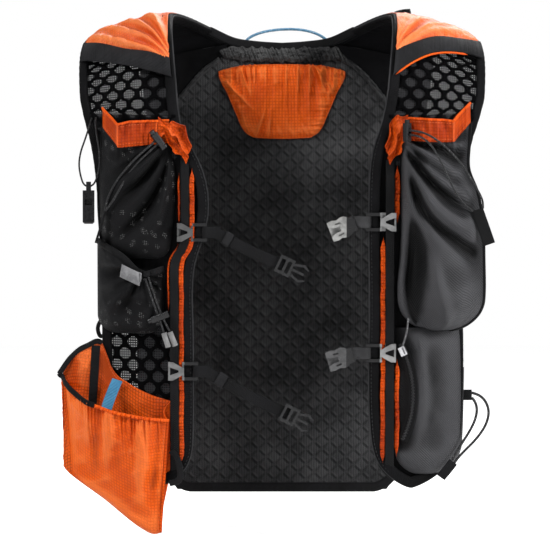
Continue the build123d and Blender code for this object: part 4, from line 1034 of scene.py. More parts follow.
# The shoulder patch: the station where it starts, its millimetres per station and over its width; the turns and
# the height of the folds that fan out from its corner at the elastic, and their seed.
PATCH_START, PATCH_LONG, PATCH_WIDE = 2.15, 38, 76
PATCH_FOLDS = {"left": (1.5, 2.6, 41), "right": (2.1, 4.6, 45)}
YOKE_RUN, PANEL_RUN, FOOT_RUN = 90, 110, 14  # points of the padded edge along the yoke, the panel and its foot


def shoulder_pad(side):
    """The padded under side of a shoulder band, puckered along its neck edge."""
    s, t = np.linspace(0, 4.62, 93)[:, None], np.linspace(0.02, 0.98, 41)[None]
    pucker = 0.5 * crumple(s * 40, t * 70, 22, 7) + 0.5 * ripple(s * 3 + t, 5) * smooth(1 - t, 0.75, 1)
    return yoke(s, t, 1.7 + pucker, side)


def shoulder_patch(side):
    """The orange patch over a shoulder: puffed, with folds that fan out from the corner at the elastic."""
    k, t = np.linspace(0, 1, 121)[:, None], np.linspace(0.01, 0.985, 81)[None]
    turns, high, seed = PATCH_FOLDS[side]
    end = through(t, *BAND_EDGES[side][0]) + 0.06
    s = PATCH_START + (end - PATCH_START) * k
    down, across = (end - s) * PATCH_LONG, t * PATCH_WIDE
    far, angle = np.hypot(down, across + 3), np.arctan2(down, across + 3)
    rays = ripple(angle * turns, seed, 0.6, 2.0) * dome(far, 26, 34)
    rays = np.sign(rays) * np.abs(rays) ** 0.8 * high
    edge = np.minimum(np.minimum((s - PATCH_START) * PATCH_LONG, down), np.minimum(t, 0.995 - t) * PATCH_WIDE)
    hump = smooth(edge, -1, 9)
    soft = creased(s * 40, across, 30, seed + 1, 3.4, 0.35) + creased(s * 40, across, 13, seed + 3, 1.6)
    gather = ripple(t * 9, seed + 2, 0.6, 2) * np.exp(-down / 8) * 1.5
    lift = np.maximum(4.4 + 2.0 * hump + (rays + soft + gather) * (0.15 + 0.85 * hump), 3.2)
    return yoke(s, t, lift, side)


def shoulder_band(side):
    """The elastic below the patch, between its two curved edges."""
    k, t = np.linspace(0, 1, 31)[:, None], np.linspace(0.0, 1.0, 81)[None]
    upper, lower = BAND_EDGES[side]
    s = between(through(t, *upper), through(t, *lower), k)
    return yoke(s, t, 4.9 + 1.0 * np.sin(np.pi * k) ** 0.5 + 0.3 * ripple(t * 14, 9, 0.8, 3), side)


def chest(side, x, w):
    """The open net's cloth: above the panel's top edge it follows the yoke, below it the panel."""
    t = np.clip((x - 92) / 82, 0, 1)
    line = yoke(6 - np.clip(w, 0, 95) / 62.0, t, -0.4, side)
    down = np.minimum(w, 0)
    x = 92 + t * (80 - 12 * smooth(-down, 0, 26))
    return np.where((w > 0)[..., None], line, front(x, wrap(x) - 0.6, down, side))


def edge_path(side):
    """The padded edge's middle and the way across it: down the neck side, round the panel's foot, up the arm side."""
    s = np.linspace(0.0, 5.9, YOKE_RUN)
    neck, arm = (yoke(s, t, 0.4, side, crown=0) for t in (0.03, 0.985))
    neck_way, arm_way = (yoke(s, t + 0.1, 0.4, side, crown=0) - yoke(s, t, 0.4, side, crown=0) for t in (0.03, 0.985))
    base = EDGES[side]["inner"][0][0]
    foot, rise = PANEL_RUN, PANEL_RUN + FOOT_RUN
    w = np.concatenate([np.linspace(-5, base, foot), np.full(FOOT_RUN, base), np.linspace(base, -6, PANEL_RUN)])
    x = np.concatenate([edge_x(side, "inner", w[:foot]) + 3.2, w[foot:rise], edge_x(side, "outer", w[rise:]) - 2.4])
    x[foot:rise] = np.linspace(x[foot - 1], x[rise], FOOT_RUN + 2)[1:-1]
    w = w + 2.6 * smooth(-w, 306, 322)
    x, w = averaged(x, 4), averaged(w, 4)
    path = front(x, wrap(x) - 0.4, w, side)
    inward = np.cross(np.gradient(path, axis=0), unit(front(x, wrap(x) - 1, w, side) - front(x, wrap(x), w, side)))
    path = np.concatenate([neck, path, arm[::-1]])
    ways = np.concatenate([unit(neck_way), unit(inward), -unit(arm_way[::-1])])
    for yoke_end, next_one, part in ((YOKE_RUN - 1, YOKE_RUN, slice(None, YOKE_RUN)),
                                     (-YOKE_RUN, -YOKE_RUN - 1, slice(-YOKE_RUN, None))):
        ways[part] *= np.sign((ways[yoke_end] * ways[next_one]).sum())
    return averaged(path, 4), averaged(ways, 4)


for side in SIGN:
    one = side == "left"
    pad = sheet_piece(f"{side}_shoulder_pad", shoulder_pad(side), 4.4, lining,
                      stands_for="shoulder_yoke" if one else None, facing=(0, 0, 1))
    sheet_piece(f"{side}_shoulder_patch", shoulder_patch(side), 0.8, lit_shoulder_orange,
                stands_for="shoulder_patches" if one else None, facing=(0, -0.3, 1))
    sheet_piece(f"{side}_shoulder_elastic", shoulder_band(side), 1.4, elastic, facing=(0, -1, 0.6))
    if one:
        t = np.linspace(0.0, 1.0, 81)
        under = yoke(through(t, *BAND_EDGES[side][1]) + 0.02, t, 3.9, side)[2:66]
        band("left_elastic_piping", under, (0, 0, 1), (1.8, 1.4, 0.7, 12), orange_cloth,
             taper=smooth(np.minimum(np.arange(64), 63 - np.arange(64)), -1, 4))

    swing_cover(net_piece(f"{side}_chest_net", lambda x, w: chest(side, x, w), (93, 173), (-34, 86), 1.1, None))
    x, w = np.broadcast_arrays(np.linspace(92, 173, 34)[None], np.linspace(-46, 86, 50)[:, None])
    swing_cover(sheet_piece(f"{side}_chest_tulle", chest(side, x, w) + [0, 2.0, -0.6], 0.25, tulle, None))
    x, w = np.linspace(0, 1, 20)[None], np.linspace(-46, 84, 50)[:, None]
    x, w = np.broadcast_arrays(90 + x * ((34 if one else 27) + 0.07 * w), w)
    slack = 1.2 * ripple(x / 14 + w / 30, 17)[..., None] * np.array([0, 1, 0])
    inside = chest(side, x, w) + [0, 4.6, -1.0] + slack
    swing_cover(sheet_piece(f"{side}_chest_lining", inside, 0.6, lining, None))

    path, ways = edge_path(side)
    wide = [np.full(YOKE_RUN, 1.0), np.full(PANEL_RUN + FOOT_RUN, 0.98), np.linspace(0.98, 0.8, PANEL_RUN),
            np.linspace(0.8, 0.95, YOKE_RUN)]
    wide = np.concatenate(wide)
    made = band(f"{side}_padded_edge", path, ways, (9.6, 6.4, 0.55, 26), padding, None,
                taper=wide * (1 + 0.04 * ripple(np.arange(len(wide)) / 4.0, 91)))
    swing_cover(made)
    step = ways * (4.5 * wide)[:, None]
    rim = path + step if abs(path[150, 0] + step[150, 0]) < abs(path[150, 0]) else path - step
    made = band(f"{side}_edge_piping", rim[4:250] + [0, -1.4, 0], (1, 0, 0), (1.5, 1.5, 0.9, 10), piping, None)
    swing_cover(made)
    shift = front(-2.6, -3.1, 0, side) - front(0, 0, 0, side)
    stitches(f"{side}_edge_thread", [(path[92:200] + shift, FRONTWARD)], thread_black, f"{side}_front")

rows = [yoke(np.linspace(2.2, 4.5, 60), t, 4.6, side, crown=0) for side in SIGN for t in (0.075, 0.93)]
stitches("shoulder_thread", [(row, (0, -0.3, 1)) for row in rows], thread_black)

x = np.concatenate([np.linspace(-67, -45, 12), np.linspace(-43, 43, 40), np.linspace(45, 67, 12)])
y = through(np.abs(x), [0, 45, 67], [1.5, 1.5, -5])
z = through(np.abs(x), [0, 22, 45, 67], [200, 201.5, 205, 214.5])
band("neck_binding", np.stack([x, y, z], -1), (0, 0, 1), (8.5, 7.0, 0.5, 24), edge_tape)

for side in SIGN:
    a, t = parts(41, 41)
    inner = through(t, [0, 0.5, 1], [(57, 189), (74, 176), (97, 149)])
    outer = through(t, [0, 0.45, 1], [(50, 203), (110, 187), (121, 132)])
    flat = between(inner, outer, a[..., None])
    y = -1.2 - 1.6 * crumple(flat[..., 0], flat[..., 1], 26, 51) * smooth(a, 0, 0.2)
    sheet_piece(f"{side}_nape_lining", np.stack([flat[..., 0] * SIGN[side], y, flat[..., 1]], -1), 0.9, lining)
    x = np.concatenate([inner[:, 0, 0], np.linspace(98.5, 119, 12)])
    z = np.concatenate([inner[:, 0, 1], np.linspace(147, 118, 12)])
    line = np.stack([x * SIGN[side], np.full(53, -1.4), z], -1)
    band(f"{side}_nape_ridge", line, turning(line), (6.0, 4.4, 0.6, 20), back_knit,
         taper=0.8 + 0.2 * ripple(np.arange(53) / 5.0, 61))


# Front panels -------------------------------------------------------------------------------------

# Each rail: heights along it, and the half width of its middle there.
RAIL = {"left": ([-310, -44], [92.5, 92.5]), "right": ([-314, -128, -112, -40], [93, 93, 85, 85])}
RAIL_V = -3.8  # the rail's depth in the front panels' frame
RAIL_TACK = {"left": -150, "right": -120}  # height where the rail is sewn down between its ends
PANEL_LOW = {"left": -324, "right": -186}  # the right panel goes on below as an open net
TRIMS = {  # name, place beside the webbing, width, lowest and highest point
    "left": [("inner", -5.9, 4.6, -306, -106), ("outer_top", 6.3, 4.8, -94, -44), ("outer_low", 6.3, 4.4, -300, -214)],
    "right": [("inner", -6.1, 4.5, -306, -46), ("outer_top", 5.2, 2.0, -96, -50), ("outer_mid", 5.0, 1.8, -172, -112)],
}
STRAPS = {  # height on the rail, slope in degrees, length of the free part
    "left": {"upper": (-93.0, 21.0, 6.5), "lower": (-208.0, 17.0, 8.0)},
    "right": {"upper": (-102.0, 26.0, 66.0), "lower": (-224.0, 28.0, 81.0)},
}
# The strap's eye round the rail's bar, from its sewn end to where its free part starts, around the bar's middle.
STRAP_EYE = [(-13, 1.5, 0), (-8, 1.7, 0), (-3.6, 2.1, 0), (-1.6, 2.3, 0), (0.4, 2.25, 0), (1.8, 1.4, 0),
             (2.3, 0, 0), (1.8, -1.4, 0), (0.2, -2.1, 0), (-2.2, -1.9, 0), (-5.5, -0.9, 0)]


def rail_x(side, w):
    """Half width of the rail's middle at a height, its bend softened."""
    spread = [np.interp(np.asarray(w, float) + d, *RAIL[side]) for d in (-6, -3, 0, 3, 6)]
    return sum(spread) / 5


def web_x(side, w):
    """Half width of the webbing's middle: it lies to the outer side of the rail's lower part."""
    return rail_x(side, w) + (1.6 if side == "left" else 1.6 * smooth(-np.asarray(w, float), 112, 128))


def panel_grid(side, high, low, across=45, down=130, last=1.0):
    """The panel's front: level rows from its inner towards its outer edge, bent on its circle round the chest."""
    w, a = np.linspace(high, low, down)[:, None], np.linspace(0, last, across)[None]
    x = edge_x(side, "inner", w) * (1 - a) + edge_x(side, "outer", w) * a
    return x, wrap(x), w + 0 * a


def hanging(x, w):
    """The net over the right panel's lower part, kept inside the panel's edges."""
    x = np.clip(x, edge_x("right", "inner", w) + 1, edge_x("right", "outer", w) - 1)
    return front(x, wrap(x) + 0.4 + 0.8 * ripple(x / 40 + w / 50, 81), w, "right")


def rail_path(side):
    """The rail's webbing: level in front of the panel, sewn down at both ends and at its tack."""
    knots = RAIL[side][0]
    w = np.linspace(knots[-1] + 5, knots[0] - 4, 120)
    x = web_x(side, w)
    foot = np.minimum(np.abs(w - w[0]), np.abs(w - w[-1]))
    foot = np.minimum(foot, np.abs(w - RAIL_TACK[side]) * 3 + 9)
    free = through(smooth(foot, 2, 13), [0, 1], [0.0, 1.0])
    return front(x, RAIL_V * free + (wrap(x) - 1.2) * (1 - free), w, side)


def strap_line(length, lean):
    """The free part of a strap, from its eye on the rail: it sags, and a long one leaves the eye in an easy bend."""
    run = np.linspace(0, length, 30)[:, None]
    free = np.array([-9.0, 0, 0]) + run * np.array([-math.cos(lean), 0, -math.sin(lean)])
    free[:, 2] -= np.sin(np.pi * run[:, 0] / length) * min(length * 0.03, 2.2)
    if length > 20:
        free[:, 1] -= 0.6 * np.sin(2 * np.pi * run[:, 0] / length)
        eye_end = np.array(STRAP_EYE[-1])
        joined = np.concatenate([eye_end + np.linspace(0, 1, 8)[:, None] * (free[:1] - eye_end), free[1:]])
        spaced = curved(joined, 60)
        at = np.arange(60)
        hold = np.maximum(smooth(at, 46, 58), smooth(10 - at, 0, 10))[:, None]
        free = averaged(spaced, 9) * (1 - hold) + spaced * hold
        free[:, 1] += 0.5 * np.sin(np.linspace(0, 9, 60)) * (1 - hold[:, 0])
        free = free[2:]
    return free


for side in SIGN:
    body = f"{side}_front"
    x, v, w = panel_grid(side, 0, PANEL_LOW[side])
    dimple = 0.8 * smooth(cell(x, w), 0, 0.9) - 0.7 * (crumple(x, w, 24, 71) - 0.4)
    sheet_piece(f"{side}_panel_cloth", front(x, v + 1.0 + dimple, w, side), 2.2, panel_knit, body, f"{side}_panel")
    if side == "right":
        net_piece("right_panel_net", hanging, (79, 158), (-323, -184), 1.2, body)
        x, v, w = panel_grid("right", -184, -324, 30, 60)
        sheet_piece("right_panel_tulle", front(x, v + 2.2, w, side), 0.25, tulle, body)
        x, v, w = panel_grid("right", -184, -324, 20, 60, 0.62)
        sheet_piece("right_panel_lining", front(x, v + 3.2 + 0.8 * ripple(w / 18 + x / 40, 83), w, side), 0.6, lining,
                    body)

    band(f"{side}_rail_web", rail_path(side), (1, 0, 0), (7.6, 1.5, 0.22, 24), webbing, body, f"{side}_rail")
    if side == "right":
        hang = [(97.5, -5.5, -294), (92.4, -7.0, -300.5), (89.6, -7.6, -311), (91.0, -7.4, -320), (99, -5.8, -323)]
        hang = front(*curved(hang, 60).T, side)
        band("right_hand_loop", hang, -turning(hang), (5.4, 2.4, 0.4, 22), edge_tape, body, slot="webbing")
    for which, shift, wide, low, high in TRIMS[side]:
        w = np.linspace(high, low, int((high - low) * 1.3))
        x = web_x(side, w) + shift + 0.3 * ripple(w / 30, 92)
        seed = 95 + len(which)
        ruffle = ripple(w / 6.0, seed, 0.5, 2.4) + 0.6 * ripple(w / 2.4, seed + 1, 0.6, 1.6)
        path = front(x, wrap(x) - 3.6 - 0.6 * ruffle, w, side)
        size = (0.95 + 0.05 * ripple(w / 9, 97)) * smooth(np.minimum(w - low, high - w), 0, 10)
        lean = np.stack([np.ones(len(w)), 0.5 * ruffle, 0 * w], -1)
        band(f"{side}_rail_trim_{which}", path, lean, (wide, 2.6, 0.8, 18), shaded_orange, body,
             taper=np.maximum(size, 0.05))

    for level, (w0, slope, length) in STRAPS[side].items():
        strap, up = f"{side}_{level}_strap", (0, 0, 1.0)
        bar = np.array([float(rail_x(side, w0)) - 18.0, RAIL_V, w0])
        free = strap_line(length, math.radians(slope))
        path = front(*(np.concatenate([STRAP_EYE, free]) + bar).T, side)
        # The wearer's left straps take the lighter webbing copy: painted light.
        band(f"{strap}_web", path, up, (10.0, 1.4, 0.22, 24), lit_strap_web if side == "left" else webbing, strap, strap)
        if side == "right":
            keeper = front(*(free[15:21] + bar).T, side)
            band(f"right_{level}_keeper", keeper, up, (12.4, 3.6, 0.35, 24), elastic, strap)
            fold = front(*(free[-7:-1] + bar + [0, 1.6, 0]).T, side)
            band(f"right_{level}_fold", fold, up, (9.6, 1.3, 0.25, 20), webbing, strap)


# Pockets ------------------------------------------------------------------------------------------


# Each bottle pocket: its sides, its base, how far it stands off, its lower corners' radius, the part of its height
# that its foot takes to close, how much its top draws in and from where, the height of its soft waves; the height of
# its top and of its cuff's hem over its width; how its far and near sides swell at a height; its fan of fine folds
# (turns, seed, reach, height) and its large folds (direction, width, nearest and farthest point, height).
BOTTLE = {
    "left": dict(
        x=(102.5, 168.0), low=-190.0, bulge=42.0, corner=30.0, foot=0.26, draw=(0.30, 0.45), soft=3.0,
        top=([0, 0.6, 0.76, 1.0], [-21.5, -22.5, -22.0, -6]), hem=([0, 0.6, 0.74, 1.0], [-2.0, -3.5, -4.5, 11]),
        far=([-190, -172, -122, -90, -66, -46, -25, 0], [3, 7, 7.5, 6, 1.5, -6, -5.5, -4]),
        near=([-190, -150, -120, 0], [0, -2.5, 0, 0]), fan=(1.5, 101, 66, 5.0),
        folds=((0.95, 0.10, 30, 130, 10.0), (1.26, 0.07, 20, 110, 6.0), (0.60, 0.10, 40, 110, 4.5),
               (1.11, 0.05, 40, 150, -6.5), (0.78, 0.05, 30, 90, -4.0))),
    "right": dict(
        x=(100.0, 160.0), low=-126.0, bulge=17.0, corner=12.0, foot=0.2, draw=(0.12, 0.5), soft=2.0,
        top=([0, 0.55, 0.72, 1.0], [-24, -27, -28, -11]), hem=([0, 0.55, 0.74, 1.0], [-4.5, -5.5, -8, 5.5]),
        far=([-117, -80, -50, -25, 0], [-1, 1.5, 1, -1.5, -2.5]),
        near=([-128, -110, -75, -52, -25, 0], [0, -3, -6.5, -7, -1, 0]), fan=(1.9, 104, 44, 4.0),
        folds=((1.25, 0.09, 16, 110, 8.0), (0.92, 0.08, 24, 100, 6.0), (1.10, 0.05, 24, 115, -7.0),
               (0.60, 0.10, 20, 80, 5.0), (0.76, 0.05, 20, 80, -4.0))),
}
STASH = dict(x=(104.0, 163.0), low=-192.0, bulge=20.0)
ZIP_POCKET = dict(x=(98.0, 156.5), low=-317.0, high=-186.0, bulge=13.0)
# Each gathered corner: parts of the way from the cuff to the rail, its upper and its lower edge there, and how far it
# stands off where it leaves the cuff.
GATHER = {
    "left": dict(at=[0, 0.25, 0.5, 0.78, 1], lift=15.0,
                 top=[(109, 1), (104, -1), (97, -1.5), (94, -13), (90, -27)],
                 low=[(109, -21.5), (106, -19), (104, -25), (100, -34), (94, -42)]),
    "right": dict(at=[0, 0.22, 0.5, 0.78, 1], lift=6.0,
                  top=[(108, -1), (101, -7), (93, -6), (84, -14), (79.5, -27)],
                  low=[(108, -24), (103, -17), (97, -27), (90, -33), (84, -41)]),
}


def seam_fit(x0, x1, low, corner, a, w):
    """Half width of a pocket at a height, its lower corners rounded."""
    d = np.clip((corner - (w - low)) / corner, 0, 1)
    inset = corner * (1 - np.sqrt(1 - d**2))
    return (x0 + inset) * (1 - a) + (x1 - inset) * a


def bottle_grid(side):
    """A bottle pocket: arcs off the panel, closed round at its foot, creases fanning out from its gathered corner."""
    size = BOTTLE[side]
    (x0, x1), low = size["x"], size["low"]
    a, t = parts(121, 161)
    top = np.interp(a, *size["top"])
    w = low + (top - low) * t
    x = seam_fit(x0, x1, low, size["corner"], a, w)
    x = x + a**2 * through(w, *size["far"]) + (1 - a) ** 2 * through(w, *size["near"])
    draw, start = size["draw"]
    lift = pocket_lift(a, x0, x1, size["bulge"]) * rounded(t, size["foot"]) * (1.0 - draw * smooth(t, start, 1.0))
    across = a * (x1 - x0) + 4
    far, angle = np.hypot(across, -18 - w), np.arctan2(-18 - w, across)
    turns, seed, reach, high = size["fan"]
    fan = ripple(angle * turns, seed, 0.5, 2.0)
    crease = np.sign(fan) * np.abs(fan) ** 0.8 * dome(far, 30, reach) * smooth(far, 0, 14) * high
    for lean, narrow, near, end, high in size["folds"]:
        crest = high * dome(angle - lean - 0.12 * np.sin(far / 30), 0, narrow)
        crease = crease + crest * smooth(far, near - 14, near + 14) * (1 - smooth(far, end - 40, end))
    if side == "left":
        crease = crease - 11.0 * dome(a, 0.2, 0.2) * dome(w, -140, 36)
        crease = crease + 3.5 * dome(a - 0.5 + (w + 150) * 0.004, 0, 0.08) * smooth(-w, 110, 140)
        crease = crease - 6.5 * dome(a, 0.19, 0.12) * smooth(-w, 20, 60)
    gather = ripple(a * 7 + 2, 107, 0.6, 2.0) * np.exp(-(top - w) / 9)
    edge = smooth(np.minimum(np.minimum(a, 1 - a) * (x1 - x0), (w - low)), 0, 10)
    lift = lift + (crease + gather + creased(x, w, 46, 109, size["soft"])) * edge + 0.8
    return x, wrap(x) - lift, w, lift


def cuff_grid(side, x, lift):
    """The cuff above a pocket's top row: it keeps the pocket's lift, leans in a little and has one crisp fold."""
    a, t = parts(121, 25)
    height = between(np.interp(a, *BOTTLE[side]["top"]), np.interp(a, *BOTTLE[side]["hem"]), t)
    lean = lift * (1 - 0.12 * t) + 0.9
    fold = 4.2 * np.exp(-(np.abs(a - 0.74) / 0.1) ** 1.2)
    soft = ripple(a * 5 + t * 0.5, 111, 0.5, 2.0) * 1.3 * t + ripple(a * 16, 112, 0.6, 2) * 0.5 * (1 - t)
    soft = soft + creased(a * 62, t * 22, 12, 115, 1.6) * np.sin(np.pi * t)
    return x + 0 * t, wrap(x) - lean - fold - soft, height


def gather_grid(side):
    """Cloth bunched where the cuff is drawn in: it leaves the cuff, pinches at the lock and fans out to the rail."""
    t, u = parts(61, 71)
    size = GATHER[side]
    flat = between(*(through(u, size["at"], size[edge]) for edge in ("top", "low")), t[..., None])
    x, w = flat[..., 0], flat[..., 1]
    body_lift = size["lift"] * (1 - smooth(u, 0.0, 0.9)) + 4.2 + 3.2 * smooth(u, 0.3, 0.9)
    pinch = 0.4 + 0.6 * smooth(np.abs(u - 0.22), 0.02, 0.3)

    def pleat(phase, keen):
        """A row of folds with sharp crests and broad hollows."""
        return 1 - np.abs(np.sin(phase)) ** keen

    turn = 0.5 * np.sin(5 * u + 1) + 0.4 * ripple(u * 2.2, 127, 0.6, 1.6)
    pleats = (pleat(t * 5.2 + turn + 0.8, 0.75) * 5.0 + pleat(t * 10.5 - 2.2 * u + 1.4 * turn, 0.9) * 1.8 - 2.4)
    pleats = pleats * (1 - 0.45 * smooth(u, 0.7, 1))
    knot = 4.5 * dome(u, 0.42, 0.14) * dome(t, 0.35, 0.3)
    scrunch = creased(x, w, 11, 125, 4.0)
    hem = 1 - 0.6 * smooth(np.abs(t - 0.5), 0.42, 0.5)
    lift = body_lift + (pleats * pinch + scrunch * smooth(u, 0.1, 0.5)) * hem * smooth(u, 0.0, 0.15) + knot
    jag = 2.4 * pleat(u * 9 + 3, 0.8) * smooth(u, 0.2, 0.45) * (smooth(t, 0.6, 1) - smooth(1 - t, 0.6, 1))
    return x + 0.6 * pleats * smooth(u, 0.2, 0.8), wrap(x) - np.maximum(lift, 1.2), w - jag


for side in SIGN:
    body = f"{side}_front"
    x, v, w, lift = bottle_grid(side)
    finish = pocket_twill if side == "left" else jersey
    sheet_piece(f"{side}_bottle_cloth", front(x, v, w, side), 1.1, finish, body, f"{side}_bottle_pocket")
    cx, cv, cw = cuff_grid(side, x[-1:], lift[-1:])
    sheet_piece(f"{side}_cuff_cloth", front(cx, cv, cw, side), 0.9, shaded_orange, body, f"{side}_bottle_cuff")
    sheet_piece(f"{side}_cuff_gather", front(*gather_grid(side), side), 0.8, shaded_orange, body)
    lines = [(front(cx[k], cv[k] - 0.3, cw[k], side), FRONTWARD) for k in (3, 21)]
    stitches(f"{side}_cuff_thread", lines, thread_orange, body, **FINE_THREAD)
    hem = front(cx[-1], cv[-1] + 0.2, cw[-1], side)
    band(f"{side}_cuff_hem", hem, (0, 0, 1), (2.2, 1.8, 0.7, 14), orange_cloth, body)
    seam = front(x[:, -1], v[:, -1] - 0.2, w[:, -1], side)
    band(f"{side}_bottle_seam", seam, (1, 0, 0), (3.0, 2.2, 0.6, 14), edge_tape, body)


def stash_grid():
    """The small pocket below: arcs off the panel, a slanting mouth, and folds towards its drawn corner."""
    (x0, x1), low = STASH["x"], STASH["low"]
    a, t = parts(91, 91)
    top = through(a, [0, 0.33, 0.61, 0.864, 1], [-134.5, -137.5, -123, -114.5, -110.5])
    w = low + (top - low) * t
    x = seam_fit(x0, x1, low, 16, a, w)
    lift = pocket_lift(a, x0, x1, STASH["bulge"]) * rounded(t, 0.4) * (1 - 0.12 * smooth(t, 0.6, 1))
    across = a * 56 - 19
    far, angle = np.hypot(across, -138 - w), np.arctan2(-138 - w, across)
    fan = ripple(angle * 1.2, 131, 0.5, 2.0) * 3.4 * dome(far, 20, 30)
    fan = fan + 3.6 * dome(a - 0.28 + (w + 190) * 0.006, 0, 0.1) * smooth(-w, 150, 172)
    edge = smooth(np.minimum(np.minimum(a, 1 - a) * 52, w - low), 0, 8)
    return x, wrap(x) - lift - (fan + creased(x, w, 26, 133, 4.4)) * edge - 1.0, w


x, v, w = stash_grid()
sheet_piece("stash_cloth", front(x, v, w, "right"), 1.0, jersey, "right_front", "stash_pocket")
rim = front(x[-1], v[-1] - 0.2, w[-1], "right")
band("stash_rim", rim, (0, 0, 1), (5.5, 2.2, 0.5, 18), edge_tape, "right_front")
a, k = parts(24, 12)
flash_x, flash_w = 140 - 17.5 * a + 2.0 * k, -129.5 - 8.0 * a - 11.0 * k
flash_v = np.interp(flash_x, x[-1], v[-1]) - 5.0 + 0.6 * k - 0.5 * np.sin(np.pi * a)
sheet_piece("stash_flash", front(flash_x, flash_v, flash_w, "right"), 0.5, glint, "right_front")
loop = np.array([(154, -4, -178), (160, -2, -182), (163, 0, -189), (161, 1, -196), (156, 0, -195)], float)
loop[:, 1] += wrap(loop[:, 0])
loop = front(*curved(loop, 40).T, "right")
band("stash_loop", loop, -turning(loop), (3.6, 1.8, 0.5, 16), edge_tape, "right_front", slot="webbing")


def zip_frame(middle, out, top):
    """A flat frame at a zip's centre: across, along and out of its cloth."""
    out = unit(np.array(out, float))
    top = unit(np.array(top, float) - out * (np.array(top, float) @ out))
    return np.array(middle, float), np.cross(top, out), top, out


def zip_bed(grid, where, radius, reach, wide=7.0):
    """Cloth brought level with a zip that is sewn on it, easing back to its own shape at either side."""
    middle, across, top, out = where
    off = grid - middle
    a, b, rise = off @ across, off @ top, off @ out
    past = np.maximum(np.abs(np.degrees(np.arctan2(a, b))) - reach, 0) * math.radians(1) * radius
    gap = np.hypot(np.hypot(a, b) - radius, past)
    near = (1 - smooth(gap, wide, wide + 12)) * (np.abs(rise) < 30)
    return grid + out * ((-0.35 - rise) * near)[..., None]


def zip_pocket_grid():
    """The zipped pocket: a long low dome off the panel, closed all round, drawn towards its zip."""
    (x0, x1), low, high = ZIP_POCKET["x"], ZIP_POCKET["low"], ZIP_POCKET["high"]
    a, t = parts(101, 161)
    w = low + (high - low) * t
    x = seam_fit(x0, x1, low, 26, a, w)
    x = x + a**2 * (1.5 + 2.5 * np.sin(np.pi * t))
    lift = pocket_lift(a, x0, x1, ZIP_POCKET["bulge"]) * rounded(t, 0.16) * (1 - 0.3 * smooth(t, 0.9, 1))
    long_fold = dome(a - 0.36 - 0.05 * np.sin(3 * t), 0, 0.09) * 3.0 * smooth(t, 0.3, 0.9)
    edge = smooth(np.minimum(np.minimum(a, 1 - a) * 55, np.minimum(w - low, high - w)), 0, 9) * smooth(a, 0.12, 0.3)
    return x, wrap(x) - lift - (long_fold + creased(x, w * 0.55, 30, 141, 1.6)) * edge - 0.3, w


POCKET_ZIP = zip_frame([32.177, -110.989, -111.823], [-0.337923, -0.937592, -0.082029], [1, -0.36, 0])
POCKET_ARC = (88.0, 29.0)  # radius, and degrees to either side of its top
grid = zip_bed(front(*zip_pocket_grid(), "left"), POCKET_ZIP, *POCKET_ARC, 6.0)
sheet_piece("zip_pocket_cloth", grid, 1.1, pocket_twill, "left_front", "zip_pocket")


# Pouch --------------------------------------------------------------------------------------------

POUCH_TURN = math.radians(12.0)
POUCH_X = 104.5
POUCH_V = float(wrap(POUCH_X)) - 0.3 - 1.6 * math.tan(POUCH_TURN)
# Heights over the pouch's width, of its front's rim and of its back's top; then the folds that run down from the rim:
# place, lean, height, width.
POUCH_RIM = ([-8, 18, 37, 53, 66, 82.6, 90], [-267, -262.6, -259, -254.6, -250.8, -239.2, -231])
POUCH_PEAK = ([-7, 11.6, 31, 47.7, 52, 56, 66, 76, 86, 91],
              [-251, -245.6, -236.3, -221, -208, -199.5, -202.5, -207.7, -218, -227.5])
POUCH_TUGS = ((12, -0.35, 2.2, 3.0), (20, 0.25, 1.4, 2.4), (44, -0.16, 1.4, 4.0), (68, 0.12, 1.4, 3.6))


def pouch(x, y, w):
    """From the pouch's own frame, its back turned 12 degrees, to the object's, on the right."""
    across = POUCH_X + x * math.cos(POUCH_TURN) - y * math.sin(POUCH_TURN)
    deep = POUCH_V + x * math.sin(POUCH_TURN) + y * math.cos(POUCH_TURN)
    return front(across, deep, w, "right")


def pouch_foot(x):
    """Height of the pouch's slanting base."""
    return through(x, [-8, 2, 9, 20, 53, 84, 92], [-366, -368, -369.5, -365, -340.5, -319, -312])


def pouch_front():
    """The pouch's front: stands off at its mouth, closes to its base, gathered below its rim, with soft folds."""
    a, t = parts(181, 181)
    x = (1.5 - 8.5 * t) * (1 - a) + (83.5 + 5.5 * t) * a
    foot, rim = pouch_foot(x), through(x, *POUCH_RIM)
    w = foot + (rim - foot) * t
    below = rim - w
    section = (np.clip(np.sin(np.pi * np.clip(a * 0.97 + 0.03, 0, 1)), 0, 1) ** 0.5) * (0.72 + 0.28 * (1 - a))
    out = 31 * (0.3 + 0.7 * smooth(t, 0.0, 0.95)) * section * rounded(t, 0.1)
    edge = smooth(np.minimum(np.minimum(a, 1 - a) * 92, (w - foot)), 0, 12)
    gather = (ripple(x / 6, 153, 0.6, 2.2) + 0.5 * ripple(x / 2.6, 154, 0.7, 1.5)) * np.exp(-below / 16) * 1.6
    folds = ripple(x / 26 + w / 160, 155, 0.6, 1.6) * 2.4 * smooth(t, 0.1, 0.6)
    folds = folds + creased(x * 0.8, w, 38, 157, 6.0) + creased(x, w, 9, 158, 1.6) * np.exp(-below / 30)
    for px, lean, size, narrow in POUCH_TUGS:
        folds = folds + size * dome(x - px + below * lean, 0, narrow) * dome(below, 0, 34)
    out = out + (gather + folds * (1 - 0.75 * smooth(t, 0.965, 1.0))) * (0.2 + 0.8 * edge)
    return np.stack(np.broadcast_arrays(x, -np.maximum(out, 0.8), w), -1)


